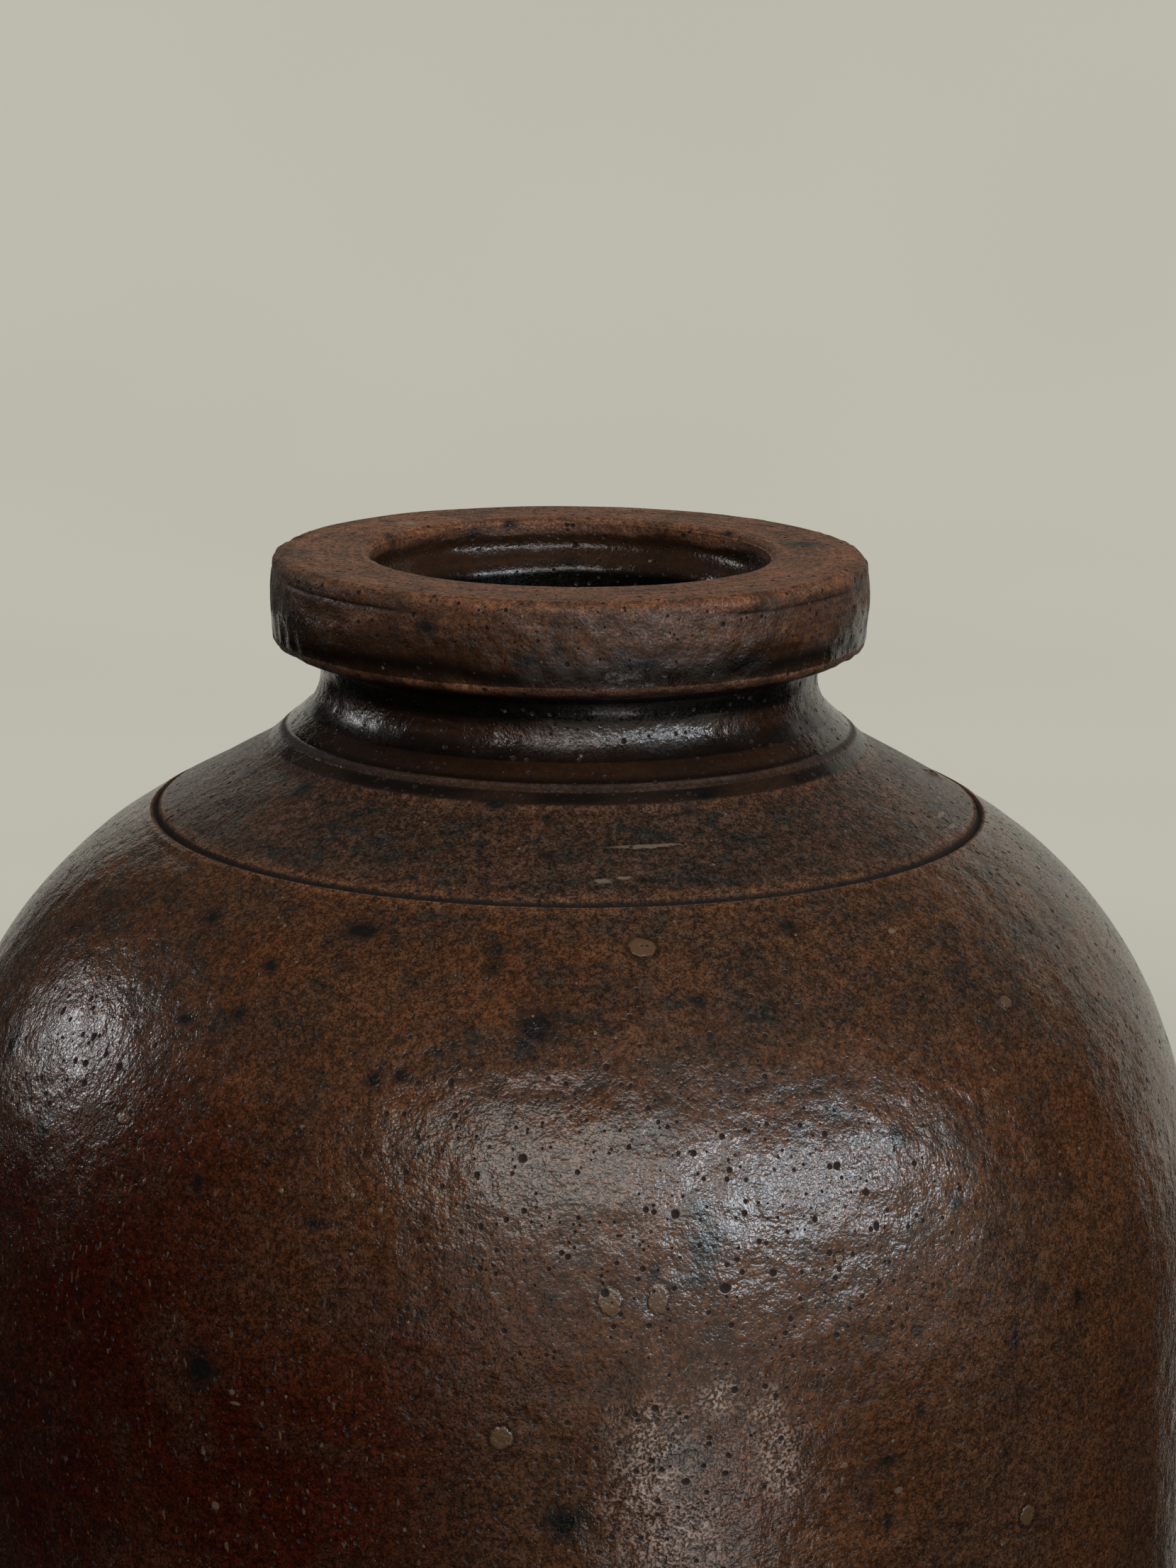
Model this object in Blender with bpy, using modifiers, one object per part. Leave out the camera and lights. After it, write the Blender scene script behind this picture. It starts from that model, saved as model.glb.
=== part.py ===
"""A wheel-thrown stoneware storage jug with a flanged tie-down rim.

A big jug like this isn't thrown in one go. A floor slab, two wall sections, a shoulder, a neck
collar and a rim ring are made one by one, and each is luted with slip on the bevelled edge of
the one below. Each of them is one object here. They all share the jug's axis, which is Z, and
the middle of the underside is the origin. Sizes are in metres.
"""

import math

import bpy

# Body and foot
BODY_RADIUS = 0.1307
BODY_HEIGHT = 0.2075  # from the table to the widest line, where the belly starts to turn in
FOOT_INSET = 0.0097  # how far the body draws in from its widest line down to the foot
FOOT_ROUND = 0.0045
WALL = 0.0090
FLOOR_THICKNESS = 0.0130
INNER_FOOT_ROUND = 0.0160

# Shoulder: a cone, then the shoulder's round, then the wider round of the belly
CONE_SLOPE = math.radians(29.0)
CONE_RUN = 0.0230  # across, from the neck's heel out to the shoulder's round
BELLY_TURN = 0.1350
BELLY_STEEPNESS = math.radians(70.0)  # slope where the shoulder's round meets the belly's
GROOVE_SETBACK = 0.0019  # from the foot of the cone in to the incised line
GROOVE_WIDTH = 0.0016
GROOVE_DEPTH = 0.0008

# Neck
NECK_RADIUS = 0.0498
NECK_WALL = 0.0132
COVE_RADIUS = 0.0095
COVE_SWEEP = math.radians(47.0)  # from the neck's waist down to the splay
COVE_TOP = math.radians(22.3)  # from the waist up to the rim's underside
SPLAY_SLOPE = math.radians(41.5)
SPLAY_RUN = 0.0090  # across, from the cove's end out to the neck's heel on the cone
RIDGE_RUN = 0.0045  # from the cove's end out to the crest of the fine raised line
RIDGE_WIDTH = 0.0016
RIDGE_RISE = 0.0005
THROAT_ROUND = 0.0180  # where the throat opens into the hollow of the shoulder

# Rim
RIM_OVERHANG = 0.0102  # of the band over the neck's waist
RIM_DEPTH = 0.0184
RIM_BULGE = 0.0004
RIM_TOP_ROUND = 0.0020
RIM_LOWER_ROUND = 0.0024
UNDERSIDE_FALL = 0.0025
MOUTH_FLARE = 0.0034  # of the mouth over the throat
MOUTH_BAND = 0.0050
MOUTH_ROUND = 0.0012

# Luted joints between the sections
SEAM_GAP = 0.0003
BODY_SEAM_HEIGHT = 0.1150
BODY_TONGUE = 0.0040  # how far the wedge of the lower wall stands into the upper one
FLOOR_BEVEL = 0.0040  # how far the slab's edge falls from the floor to the outside
FLOOR_TOE = 0.0020  # edge of the lower wall where it ends on the floor
SHOULDER_SCARF = 0.0108
RIM_SEAT_RISE = 0.0050

TURN_STEPS = 60
SHARP_ANGLE = math.radians(32.0)

# Radii that follow, from the neck outwards
COVE_CENTRE_RADIUS = NECK_RADIUS + COVE_RADIUS
NECK_TOP_RADIUS = COVE_CENTRE_RADIUS - COVE_RADIUS * math.cos(COVE_TOP)
COVE_END_RADIUS = COVE_CENTRE_RADIUS - COVE_RADIUS * math.cos(COVE_SWEEP)
RIDGE_RADIUS = COVE_END_RADIUS + RIDGE_RUN
HEEL_RADIUS = COVE_END_RADIUS + SPLAY_RUN
CONE_FOOT_RADIUS = HEEL_RADIUS + CONE_RUN
GROOVE_RADIUS = CONE_FOOT_RADIUS - GROOVE_SETBACK
THROAT_RADIUS = NECK_RADIUS - NECK_WALL
MOUTH_RADIUS = THROAT_RADIUS + MOUTH_FLARE
RIM_RADIUS = NECK_RADIUS + RIM_OVERHANG

# The belly's round ends upright at the widest line, and the shoulder's fills what is left
BELLY_CENTRE = (BODY_RADIUS - BELLY_TURN, BODY_HEIGHT)
BELLY_RUN = BELLY_TURN * (1.0 - math.sin(BELLY_STEEPNESS))
SHOULDER_RUN = BODY_RADIUS - CONE_FOOT_RADIUS - BELLY_RUN
SHOULDER_TURN = SHOULDER_RUN / (math.sin(BELLY_STEEPNESS) - math.sin(CONE_SLOPE))
SHOULDER_CENTRE = (
    BELLY_CENTRE[0] + (BELLY_TURN - SHOULDER_TURN) * math.sin(BELLY_STEEPNESS),
    BELLY_CENTRE[1] + (BELLY_TURN - SHOULDER_TURN) * math.cos(BELLY_STEEPNESS),
)
BELLY_ANGLE = math.pi / 2 - BELLY_STEEPNESS
CONE_ANGLE = math.pi / 2 - CONE_SLOPE
CONE_FOOT_HEIGHT = SHOULDER_CENTRE[1] + SHOULDER_TURN * math.cos(CONE_SLOPE)
WALL_DROP = WALL / math.cos(CONE_SLOPE)  # straight down through the cone's wall

# The side below the widest line is one long arc
FOOT_RADIUS = BODY_RADIUS - FOOT_INSET
SIDE_SWEEP = BODY_HEIGHT - FOOT_ROUND
SIDE_ARC = (SIDE_SWEEP**2 + FOOT_INSET**2) / (2 * FOOT_INSET)
FLOOR_SEAM_HEIGHT = FLOOR_THICKNESS - FLOOR_BEVEL


def cone_height(radius):
    """Height of the shoulder's cone at a radius."""
    return CONE_FOOT_HEIGHT + (CONE_FOOT_RADIUS - radius) * math.tan(CONE_SLOPE)


def splay_height(radius):
    """Height of the neck's splayed foot at a radius. It meets the cone at the heel."""
    return cone_height(HEEL_RADIUS) + (HEEL_RADIUS - radius) * math.tan(SPLAY_SLOPE)


def side_radius(height):
    """Radius of the jug's outside below its widest line."""
    drop = BODY_HEIGHT - height
    return BODY_RADIUS - SIDE_ARC + math.sqrt(SIDE_ARC**2 - drop**2)


# Heights of the neck and the rim, which stand on the cone
WAIST_HEIGHT = splay_height(COVE_END_RADIUS) + COVE_RADIUS * math.sin(COVE_SWEEP)
NECK_TOP_HEIGHT = WAIST_HEIGHT + COVE_RADIUS * math.sin(COVE_TOP)
RIM_UNDERSIDE = NECK_TOP_HEIGHT + UNDERSIDE_FALL
RIM_SEAT_HEIGHT = NECK_TOP_HEIGHT + RIM_SEAT_RISE
JUG_HEIGHT = RIM_UNDERSIDE + RIM_DEPTH

# The throat's lower round touches the inside of the cone
THROAT_CENTRE_RADIUS = THROAT_RADIUS + THROAT_ROUND
THROAT_CENTRE_RISE = THROAT_ROUND / math.cos(CONE_SLOPE)
THROAT_CENTRE = (
    THROAT_CENTRE_RADIUS,
    cone_height(THROAT_CENTRE_RADIUS) - WALL_DROP + THROAT_CENTRE_RISE,
)


def arc(centre, radius, start, end, steps):
    """Points on a round, from start to end. Angles are measured up from the outward direction."""
    points = []
    for step in range(steps + 1):
        angle = start + (end - start) * step / steps
        across = centre[0] + radius * math.cos(angle)
        height = centre[1] + radius * math.sin(angle)
        points.append((across, height))
    return points


def side(top, bottom, inset, steps):
    """Points down the body's long arc between two heights, set in from the outside by inset."""
    points = []
    for step in range(steps + 1):
        height = top + (bottom - top) * step / steps
        points.append((side_radius(height) - inset, height))
    return points


def ease(start, end, steps):
    """Points on an S-shaped curve that leaves start and reaches end upright."""
    points = []
    for step in range(steps + 1):
        share = step / steps
        across = start[0] + (end[0] - start[0]) * (1.0 - math.cos(math.pi * share)) / 2
        height = start[1] + (end[1] - start[1]) * share
        points.append((across, height))
    return points


def lifted(points):
    """The same points, higher by the slip's thickness, for the piece that sits on this seam."""
    return [(across, height + SEAM_GAP) for across, height in points]


def up(points):
    """The same points in the other order."""
    return points[::-1]


# The seams, each listed from the outside of the wall to the inside, as the lower piece has it
def floor_seam():
    """The floor slab's bevelled edge, which carries the lower wall."""
    inner_wall = side_radius(FLOOR_THICKNESS + INNER_FOOT_ROUND) - WALL
    centre_rise = INNER_FOOT_ROUND - FLOOR_TOE
    toe_radius = inner_wall - INNER_FOOT_ROUND + math.sqrt(INNER_FOOT_ROUND**2 - centre_rise**2)
    return [(side_radius(FLOOR_SEAM_HEIGHT), FLOOR_SEAM_HEIGHT), (toe_radius, FLOOR_THICKNESS)]


def body_seam():
    """The wedge along the top of the lower wall."""
    outside = side_radius(BODY_SEAM_HEIGHT)
    wedge = (outside - WALL / 2, BODY_SEAM_HEIGHT + BODY_TONGUE)
    return [(outside, BODY_SEAM_HEIGHT), wedge, (outside - WALL, BODY_SEAM_HEIGHT)]


def shoulder_seam():
    """The scarf from the bottom of the incised line in through the cone's wall."""
    inner_radius = GROOVE_RADIUS - SHOULDER_SCARF
    groove = (GROOVE_RADIUS, cone_height(GROOVE_RADIUS) - GROOVE_DEPTH)
    return [groove, (inner_radius, cone_height(inner_radius) - WALL_DROP)]


def neck_seam():
    """The bevelled opening of the shoulder, in which the neck collar sits up to its ridge."""
    ridge_foot = RIDGE_RADIUS + RIDGE_WIDTH / 2
    throat_foot = arc(THROAT_CENTRE, THROAT_ROUND, math.pi, math.pi + CONE_ANGLE, 1)[1]
    return [(ridge_foot, splay_height(ridge_foot)), throat_foot]


def rim_seam():
    """The coned top of the neck collar, on which the rim ring sits."""
    return [(NECK_TOP_RADIUS, NECK_TOP_HEIGHT), (THROAT_RADIUS, RIM_SEAT_HEIGHT)]


def clay(name, colour, roughness):
    """A fired surface as a Principled material."""
    material = bpy.data.materials.new(name)
    material.use_nodes = True
    shader = material.node_tree.nodes["Principled BSDF"]
    shader.inputs["Base Color"].default_value = (*colour, 1.0)
    shader.inputs["Roughness"].default_value = roughness
    shader.inputs["Metallic"].default_value = 0.0
    return material


def turned(name, outline, material, collection, closed=True):
    """One piece turned on the wheel: its outline, outside first, screwed once round the axis."""
    mesh = bpy.data.meshes.new(name)
    count = len(outline)
    edges = [(index, index + 1) for index in range(count - 1)]
    if closed:
        edges.append((count - 1, 0))
    mesh.from_pydata([(across, 0.0, height) for across, height in outline], edges, [])
    piece = bpy.data.objects.new(name, mesh)
    collection.objects.link(piece)
    turn = piece.modifiers.new("turn", "SCREW")
    turn.axis = "Z"
    turn.angle = math.tau
    turn.steps = TURN_STEPS
    turn.render_steps = TURN_STEPS
    turn.use_merge_vertices = True
    turn.merge_threshold = 0.00001
    bpy.context.view_layer.objects.active = piece
    bpy.ops.object.modifier_apply(modifier=turn.name)
    piece.data.shade_smooth()
    piece.data.set_sharp_from_angle(angle=SHARP_ANGLE)
    piece.data.materials.append(material)
    return piece


def floor_slab(material, collection):
    """A flat disc with a rounded foot edge and a bevelled seat for the wall."""
    foot_centre = (FOOT_RADIUS - FOOT_ROUND, FOOT_ROUND)
    outline = [(0.0, FLOOR_THICKNESS)]
    outline += up(floor_seam())
    outline += arc(foot_centre, FOOT_ROUND, 0.0, -math.pi / 2, 3)
    outline.append((0.0, 0.0))
    return turned("floor_slab", outline, material, collection, closed=False)


def lower_wall(material, collection):
    """The first thrown wall, from the floor up to the seam inside the belly."""
    seat = lifted(floor_seam())
    inner_wall = side_radius(FLOOR_THICKNESS + INNER_FOOT_ROUND) - WALL
    round_centre = (inner_wall - INNER_FOOT_ROUND, FLOOR_THICKNESS + INNER_FOOT_ROUND)
    toe_angle = -math.asin(1.0 - FLOOR_TOE / INNER_FOOT_ROUND)
    outline = side(BODY_SEAM_HEIGHT, FLOOR_SEAM_HEIGHT + SEAM_GAP, 0.0, 4)
    outline += seat[1:]
    outline += arc(round_centre, INNER_FOOT_ROUND, toe_angle, 0.0, 4)
    outline += up(side(BODY_SEAM_HEIGHT, round_centre[1], WALL, 3))[1:]
    outline.append(body_seam()[1])
    return turned("lower_wall", outline, material, collection)


def upper_wall(material, collection):
    """The second thrown wall: the belly and the shoulder's round, up to the incised line."""
    seat = lifted(body_seam())
    groove, scarf = shoulder_seam()
    lip_radius = GROOVE_RADIUS + GROOVE_WIDTH / 2
    outline = [groove, (lip_radius, cone_height(lip_radius))]
    outline += arc(SHOULDER_CENTRE, SHOULDER_TURN, CONE_ANGLE, BELLY_ANGLE, 6)
    outline += arc(BELLY_CENTRE, BELLY_TURN, BELLY_ANGLE, 0.0, 4)[1:]
    outline += side(BODY_HEIGHT, seat[0][1], 0.0, 2)[1:]
    outline += seat[1:]
    outline += up(side(BODY_HEIGHT, seat[2][1], WALL, 2))[1:]
    outline += arc(BELLY_CENTRE, BELLY_TURN - WALL, 0.0, BELLY_ANGLE, 3)[1:]
    outline += arc(SHOULDER_CENTRE, SHOULDER_TURN - WALL, BELLY_ANGLE, CONE_ANGLE, 5)[1:]
    outline.append(scarf)
    return turned("upper_wall", outline, material, collection)


def shoulder(material, collection):
    """The coned shoulder, from the incised line up to the bevelled opening for the neck."""
    seat = lifted(shoulder_seam())
    opening = neck_seam()
    lip_radius = GROOVE_RADIUS - GROOVE_WIDTH / 2
    outline = [opening[0]]
    outline.append((HEEL_RADIUS, cone_height(HEEL_RADIUS)))
    outline.append((lip_radius, cone_height(lip_radius)))
    outline += seat
    outline.append(opening[1])
    return turned("shoulder", outline, material, collection)


def neck_collar(material, collection):
    """The waisted neck: a cove with a fine ridge at its foot, and the throat inside."""
    seat = lifted(neck_seam())
    cove_centre = (COVE_CENTRE_RADIUS, WAIST_HEIGHT)
    ridge_top = RIDGE_RADIUS - RIDGE_WIDTH / 2
    outline = arc(cove_centre, COVE_RADIUS, math.pi - COVE_TOP, math.pi + COVE_SWEEP, 8)
    outline.append((ridge_top, splay_height(ridge_top)))
    outline.append((RIDGE_RADIUS, splay_height(RIDGE_RADIUS) + RIDGE_RISE))
    outline += seat
    outline += up(arc(THROAT_CENTRE, THROAT_ROUND, math.pi, math.pi + CONE_ANGLE, 5))[1:]
    outline += rim_seam()[1:]
    return turned("neck_collar", outline, material, collection)


def rim_ring(material, collection):
    """The thick flat-topped flange: a barrelled band, an undercut and the rounded mouth."""
    seat = lifted(rim_seam())
    edge_radius = RIM_RADIUS - RIM_BULGE
    top_centre = (edge_radius - RIM_TOP_ROUND, JUG_HEIGHT - RIM_TOP_ROUND)
    lower_centre = (edge_radius - RIM_LOWER_ROUND, RIM_UNDERSIDE + RIM_LOWER_ROUND)
    mouth_centre = (MOUTH_RADIUS + MOUTH_ROUND, JUG_HEIGHT - MOUTH_ROUND)
    mouth_edge = (MOUTH_RADIUS, JUG_HEIGHT - MOUTH_BAND)
    outline = arc(top_centre, RIM_TOP_ROUND, math.pi / 2, 0.0, 3)
    outline.append((RIM_RADIUS, (top_centre[1] + lower_centre[1]) / 2))
    outline += arc(lower_centre, RIM_LOWER_ROUND, 0.0, -math.pi / 2, 4)
    outline += seat
    outline += up(ease(mouth_edge, seat[1], 4))[1:]
    outline += up(arc(mouth_centre, MOUTH_ROUND, math.pi / 2, math.pi, 2))
    return turned("rim_ring", outline, material, collection)


def clear_scene():
    """Removes whatever the open file holds."""
    for old in list(bpy.data.objects):
        bpy.data.objects.remove(old)


def build_jug():
    """Makes the six pieces of the jug, from the table up."""
    clear_scene()
    jug = bpy.data.collections.new("stoneware_jug")
    bpy.context.scene.collection.children.link(jug)
    bare_foot = clay("bare_foot_clay", (0.105, 0.058, 0.036), 0.85)
    glaze = clay("brown_salt_glaze", (0.072, 0.036, 0.022), 0.38)
    shoulder_glaze = clay("dusky_shoulder_glaze", (0.066, 0.038, 0.027), 0.52)
    neck_glaze = clay("dark_neck_glaze", (0.048, 0.026, 0.018), 0.28)
    dry_rim = clay("dry_rim_clay", (0.085, 0.044, 0.028), 0.62)
    floor_slab(bare_foot, jug)
    lower_wall(glaze, jug)
    upper_wall(glaze, jug)
    shoulder(shoulder_glaze, jug)
    neck_collar(neck_glaze, jug)
    rim_ring(dry_rim, jug)


build_jug()
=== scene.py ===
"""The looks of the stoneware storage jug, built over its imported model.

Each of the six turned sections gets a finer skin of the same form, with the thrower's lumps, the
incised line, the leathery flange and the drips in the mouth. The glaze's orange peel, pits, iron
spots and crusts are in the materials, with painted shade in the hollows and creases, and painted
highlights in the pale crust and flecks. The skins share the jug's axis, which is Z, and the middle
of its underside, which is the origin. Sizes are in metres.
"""

import math

import bpy
import numpy as np
from mathutils import Matrix, Vector
from mathutils.bvhtree import BVHTree


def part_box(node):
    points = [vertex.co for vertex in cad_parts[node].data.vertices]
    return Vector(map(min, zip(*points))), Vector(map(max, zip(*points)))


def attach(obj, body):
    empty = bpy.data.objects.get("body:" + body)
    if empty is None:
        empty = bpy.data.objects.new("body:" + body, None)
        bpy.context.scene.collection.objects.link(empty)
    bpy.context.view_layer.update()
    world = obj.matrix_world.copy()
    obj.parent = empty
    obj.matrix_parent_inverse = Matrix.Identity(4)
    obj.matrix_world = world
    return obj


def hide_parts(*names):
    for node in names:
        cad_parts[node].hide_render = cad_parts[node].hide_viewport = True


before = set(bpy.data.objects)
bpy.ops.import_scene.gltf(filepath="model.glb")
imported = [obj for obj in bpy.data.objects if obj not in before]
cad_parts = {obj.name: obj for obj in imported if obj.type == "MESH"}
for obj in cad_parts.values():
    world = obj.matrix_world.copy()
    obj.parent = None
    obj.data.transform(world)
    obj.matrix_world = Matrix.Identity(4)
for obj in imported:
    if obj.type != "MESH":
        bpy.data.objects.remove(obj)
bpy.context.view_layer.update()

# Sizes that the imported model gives
SLIP = 0.0003
JUG_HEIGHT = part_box("rim_ring")[1].z
BODY_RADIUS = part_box("upper_wall")[1].x
RIM_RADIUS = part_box("rim_ring")[1].x
NECK_TOP_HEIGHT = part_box("rim_ring")[0].z - SLIP
RIM_SEAT_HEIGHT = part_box("neck_collar")[1].z
RIDGE_FOOT_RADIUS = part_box("neck_collar")[1].x
GROOVE_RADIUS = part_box("shoulder")[1].x
BODY_SEAM_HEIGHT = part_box("upper_wall")[0].z - SLIP
WEDGE_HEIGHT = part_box("lower_wall")[1].z
FLOOR_SEAM_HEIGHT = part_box("lower_wall")[0].z - SLIP
FLOOR_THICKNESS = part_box("floor_slab")[1].z

# Sizes of the sections' profiles, which a node's box doesn't show
BODY_HEIGHT = 0.2075
FOOT_INSET = 0.0097
FOOT_ROUND = 0.0045
WALL = 0.0090
INNER_FOOT_ROUND = 0.0160
FLOOR_TOE = 0.0020
CONE_SLOPE = math.radians(29.0)
CONE_RUN = 0.0230
BELLY_TURN = 0.1350
BELLY_STEEPNESS = math.radians(70.0)
GROOVE_WIDTH = 0.0016
GROOVE_DEPTH = 0.0008
SHOULDER_SCARF = 0.0108
COVE_RADIUS = 0.0095
COVE_SWEEP = math.radians(47.0)
COVE_TOP = math.radians(22.3)
SPLAY_SLOPE = math.radians(41.5)
SPLAY_RUN = 0.0090
RIDGE_WIDTH = 0.0016
RIDGE_RISE = 0.0005
THROAT_ROUND = 0.0180
NECK_WALL = 0.0132
RIM_OVERHANG = 0.0102
RIM_BULGE = 0.0004
RIM_TOP_ROUND = 0.0020
RIM_LOWER_ROUND = 0.0024
UNDERSIDE_FALL = 0.0025
MOUTH_FLARE = 0.0034
MOUTH_BAND = 0.0050
FLARE_DEPTH = 0.0110
MOUTH_ROUND = 0.0012

# Radii and heights that follow from them
NECK_RADIUS = RIM_RADIUS - RIM_OVERHANG
THROAT_RADIUS = NECK_RADIUS - NECK_WALL
MOUTH_RADIUS = THROAT_RADIUS + MOUTH_FLARE
COVE_CENTRE_RADIUS = NECK_RADIUS + COVE_RADIUS
NECK_TOP_RADIUS = COVE_CENTRE_RADIUS - COVE_RADIUS * math.cos(COVE_TOP)
COVE_END_RADIUS = COVE_CENTRE_RADIUS - COVE_RADIUS * math.cos(COVE_SWEEP)
RIDGE_RADIUS = RIDGE_FOOT_RADIUS - RIDGE_WIDTH / 2
HEEL_RADIUS = COVE_END_RADIUS + SPLAY_RUN
CONE_FOOT_RADIUS = HEEL_RADIUS + CONE_RUN
RIM_UNDERSIDE = NECK_TOP_HEIGHT + UNDERSIDE_FALL
BELLY_CENTRE = (BODY_RADIUS - BELLY_TURN, BODY_HEIGHT)
BELLY_RUN = BELLY_TURN * (1.0 - math.sin(BELLY_STEEPNESS))
SHOULDER_RUN = BODY_RADIUS - CONE_FOOT_RADIUS - BELLY_RUN
SHOULDER_TURN = SHOULDER_RUN / (math.sin(BELLY_STEEPNESS) - math.sin(CONE_SLOPE))
SHOULDER_CENTRE = (
    BELLY_CENTRE[0] + (BELLY_TURN - SHOULDER_TURN) * math.sin(BELLY_STEEPNESS),
    BELLY_CENTRE[1] + (BELLY_TURN - SHOULDER_TURN) * math.cos(BELLY_STEEPNESS),
)
BELLY_ANGLE = math.pi / 2 - BELLY_STEEPNESS
CONE_ANGLE = math.pi / 2 - CONE_SLOPE
CONE_FOOT_HEIGHT = SHOULDER_CENTRE[1] + SHOULDER_TURN * math.cos(CONE_SLOPE)
WALL_DROP = WALL / math.cos(CONE_SLOPE)
FOOT_RADIUS = BODY_RADIUS - FOOT_INSET
SIDE_SWEEP = BODY_HEIGHT - FOOT_ROUND
SIDE_ARC = (SIDE_SWEEP**2 + FOOT_INSET**2) / (2 * FOOT_INSET)
WAIST_HEIGHT = NECK_TOP_HEIGHT - COVE_RADIUS * math.sin(COVE_TOP)

# Rows of the skins: a zone's spacing, and how strongly the glaze's relief shows there
ZONES = {
    "body": (0.0009, 1.0),
    "foot": (0.0016, 1.0),
    "cone": (0.0008, 0.8),
    "groove": (0.0002, 0.3),
    "splay": (0.0004, 0.5),
    "cove": (0.0005, 0.4),
    "band": (0.0005, 1.0),
    "edge": (0.0003, 0.6),
    "top": (0.0005, 0.5),
    "mouth": (0.0008, 0.4),
    "inside": (0.0045, 0.0),
    "seat": (0.0060, 0.0),
    "under": (0.0090, 0.0),
}
ZONE_NAMES = list(ZONES)
HUB_RADIUS = 0.02
BODY_COLUMNS = 960
NECK_COLUMNS = 720
SHARP_ANGLE = math.radians(38.0)


def cone_height(radius):
    """Height of the shoulder's cone at a radius."""
    return CONE_FOOT_HEIGHT + (CONE_FOOT_RADIUS - radius) * math.tan(CONE_SLOPE)


def splay_height(radius):
    """Height of the neck's splayed foot at a radius."""
    return cone_height(HEEL_RADIUS) + (HEEL_RADIUS - radius) * math.tan(SPLAY_SLOPE)


def side_radius(height):
    """Radius of the jug's outside below its widest line."""
    return BODY_RADIUS - SIDE_ARC + math.sqrt(SIDE_ARC**2 - (BODY_HEIGHT - height) ** 2)


def on_arc(centre, radius, start, end, zone, hollow=False):
    """Rows on a round: radius, height, the direction away from the clay, and the zone."""
    steps = max(2, math.ceil(abs(end - start) * radius / ZONES[zone][0]))
    sign = -1.0 if hollow else 1.0
    rows = []
    for angle in np.linspace(start, end, steps + 1):
        across, rise = math.cos(angle), math.sin(angle)
        place = (centre[0] + radius * across, centre[1] + radius * rise)
        rows.append((*place, sign * across, sign * rise, zone))
    return rows


def on_line(start, end, zone, facing=None):
    """Rows on a straight line. They face away from the clay, unless another facing is given."""
    run, rise = end[0] - start[0], end[1] - start[1]
    length = math.hypot(run, rise)
    facing = facing or (-rise / length, run / length)
    steps = max(1, math.ceil(length / ZONES[zone][0]))
    shares = np.linspace(0.0, 1.0, steps + 1)
    return [(start[0] + run * share, start[1] + rise * share, *facing, zone) for share in shares]


def on_side(top, bottom, inset, zone):
    """Rows down the body's long arc, set in from the outside by inset."""
    steps = max(2, math.ceil((top - bottom) / ZONES[zone][0]))
    sign = -1.0 if inset else 1.0
    heights = np.linspace(top, bottom, steps + 1)
    return [(side_radius(height) - inset, height, sign, 0.0, zone) for height in heights]


def on_ease(start, end, zone):
    """Rows on an S-shaped curve that leaves start and reaches end upright, facing the axis."""
    run, rise = end[0] - start[0], end[1] - start[1]
    steps = max(4, math.ceil(rise / ZONES[zone][0]))
    rows = []
    for share in np.linspace(0.0, 1.0, steps + 1):
        radius = start[0] + run * (1.0 - math.cos(math.pi * share)) / 2
        rows.append((radius, start[1] + rise * share, -1.0, 0.0, zone))
    return rows


def joined(*parts):
    """One outline from several, without the points that two neighbours share."""
    outline = []
    for part in parts:
        for row in part:
            if not outline or math.hypot(row[0] - outline[-1][0], row[1] - outline[-1][1]) > 1e-7:
                outline.append(row)
    first, last = outline[0], outline[-1]
    if math.hypot(first[0] - last[0], first[1] - last[1]) < 1e-7:
        outline.pop()
    return outline


CONE_FACING = (math.sin(CONE_SLOPE), math.cos(CONE_SLOPE))
SPLAY_FACING = (math.sin(SPLAY_SLOPE), math.cos(SPLAY_SLOPE))
THROAT_CENTRE_RADIUS = THROAT_RADIUS + THROAT_ROUND
THROAT_CENTRE = (
    THROAT_CENTRE_RADIUS,
    cone_height(THROAT_CENTRE_RADIUS) - WALL_DROP + THROAT_ROUND / math.cos(CONE_SLOPE),
)
GROOVE_BOTTOM = (GROOVE_RADIUS, cone_height(GROOVE_RADIUS) - GROOVE_DEPTH)
SCARF_END = (
    GROOVE_RADIUS - SHOULDER_SCARF,
    cone_height(GROOVE_RADIUS - SHOULDER_SCARF) - WALL_DROP,
)
RIDGE_FOOT = (RIDGE_FOOT_RADIUS, splay_height(RIDGE_FOOT_RADIUS))
THROAT_FOOT = (
    THROAT_CENTRE[0] + THROAT_ROUND * math.cos(math.pi + CONE_ANGLE),
    THROAT_CENTRE[1] + THROAT_ROUND * math.sin(math.pi + CONE_ANGLE),
)
BODY_SEAM_RADIUS = side_radius(BODY_SEAM_HEIGHT)
WEDGE = (BODY_SEAM_RADIUS - WALL / 2, WEDGE_HEIGHT)
INNER_FOOT_HEIGHT = FLOOR_THICKNESS + INNER_FOOT_ROUND
INNER_FOOT_CENTRE_RADIUS = side_radius(INNER_FOOT_HEIGHT) - WALL - INNER_FOOT_ROUND
TOE_ANGLE = -math.asin(1.0 - FLOOR_TOE / INNER_FOOT_ROUND)
TOE_RADIUS = INNER_FOOT_CENTRE_RADIUS + INNER_FOOT_ROUND * math.cos(TOE_ANGLE)


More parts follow.
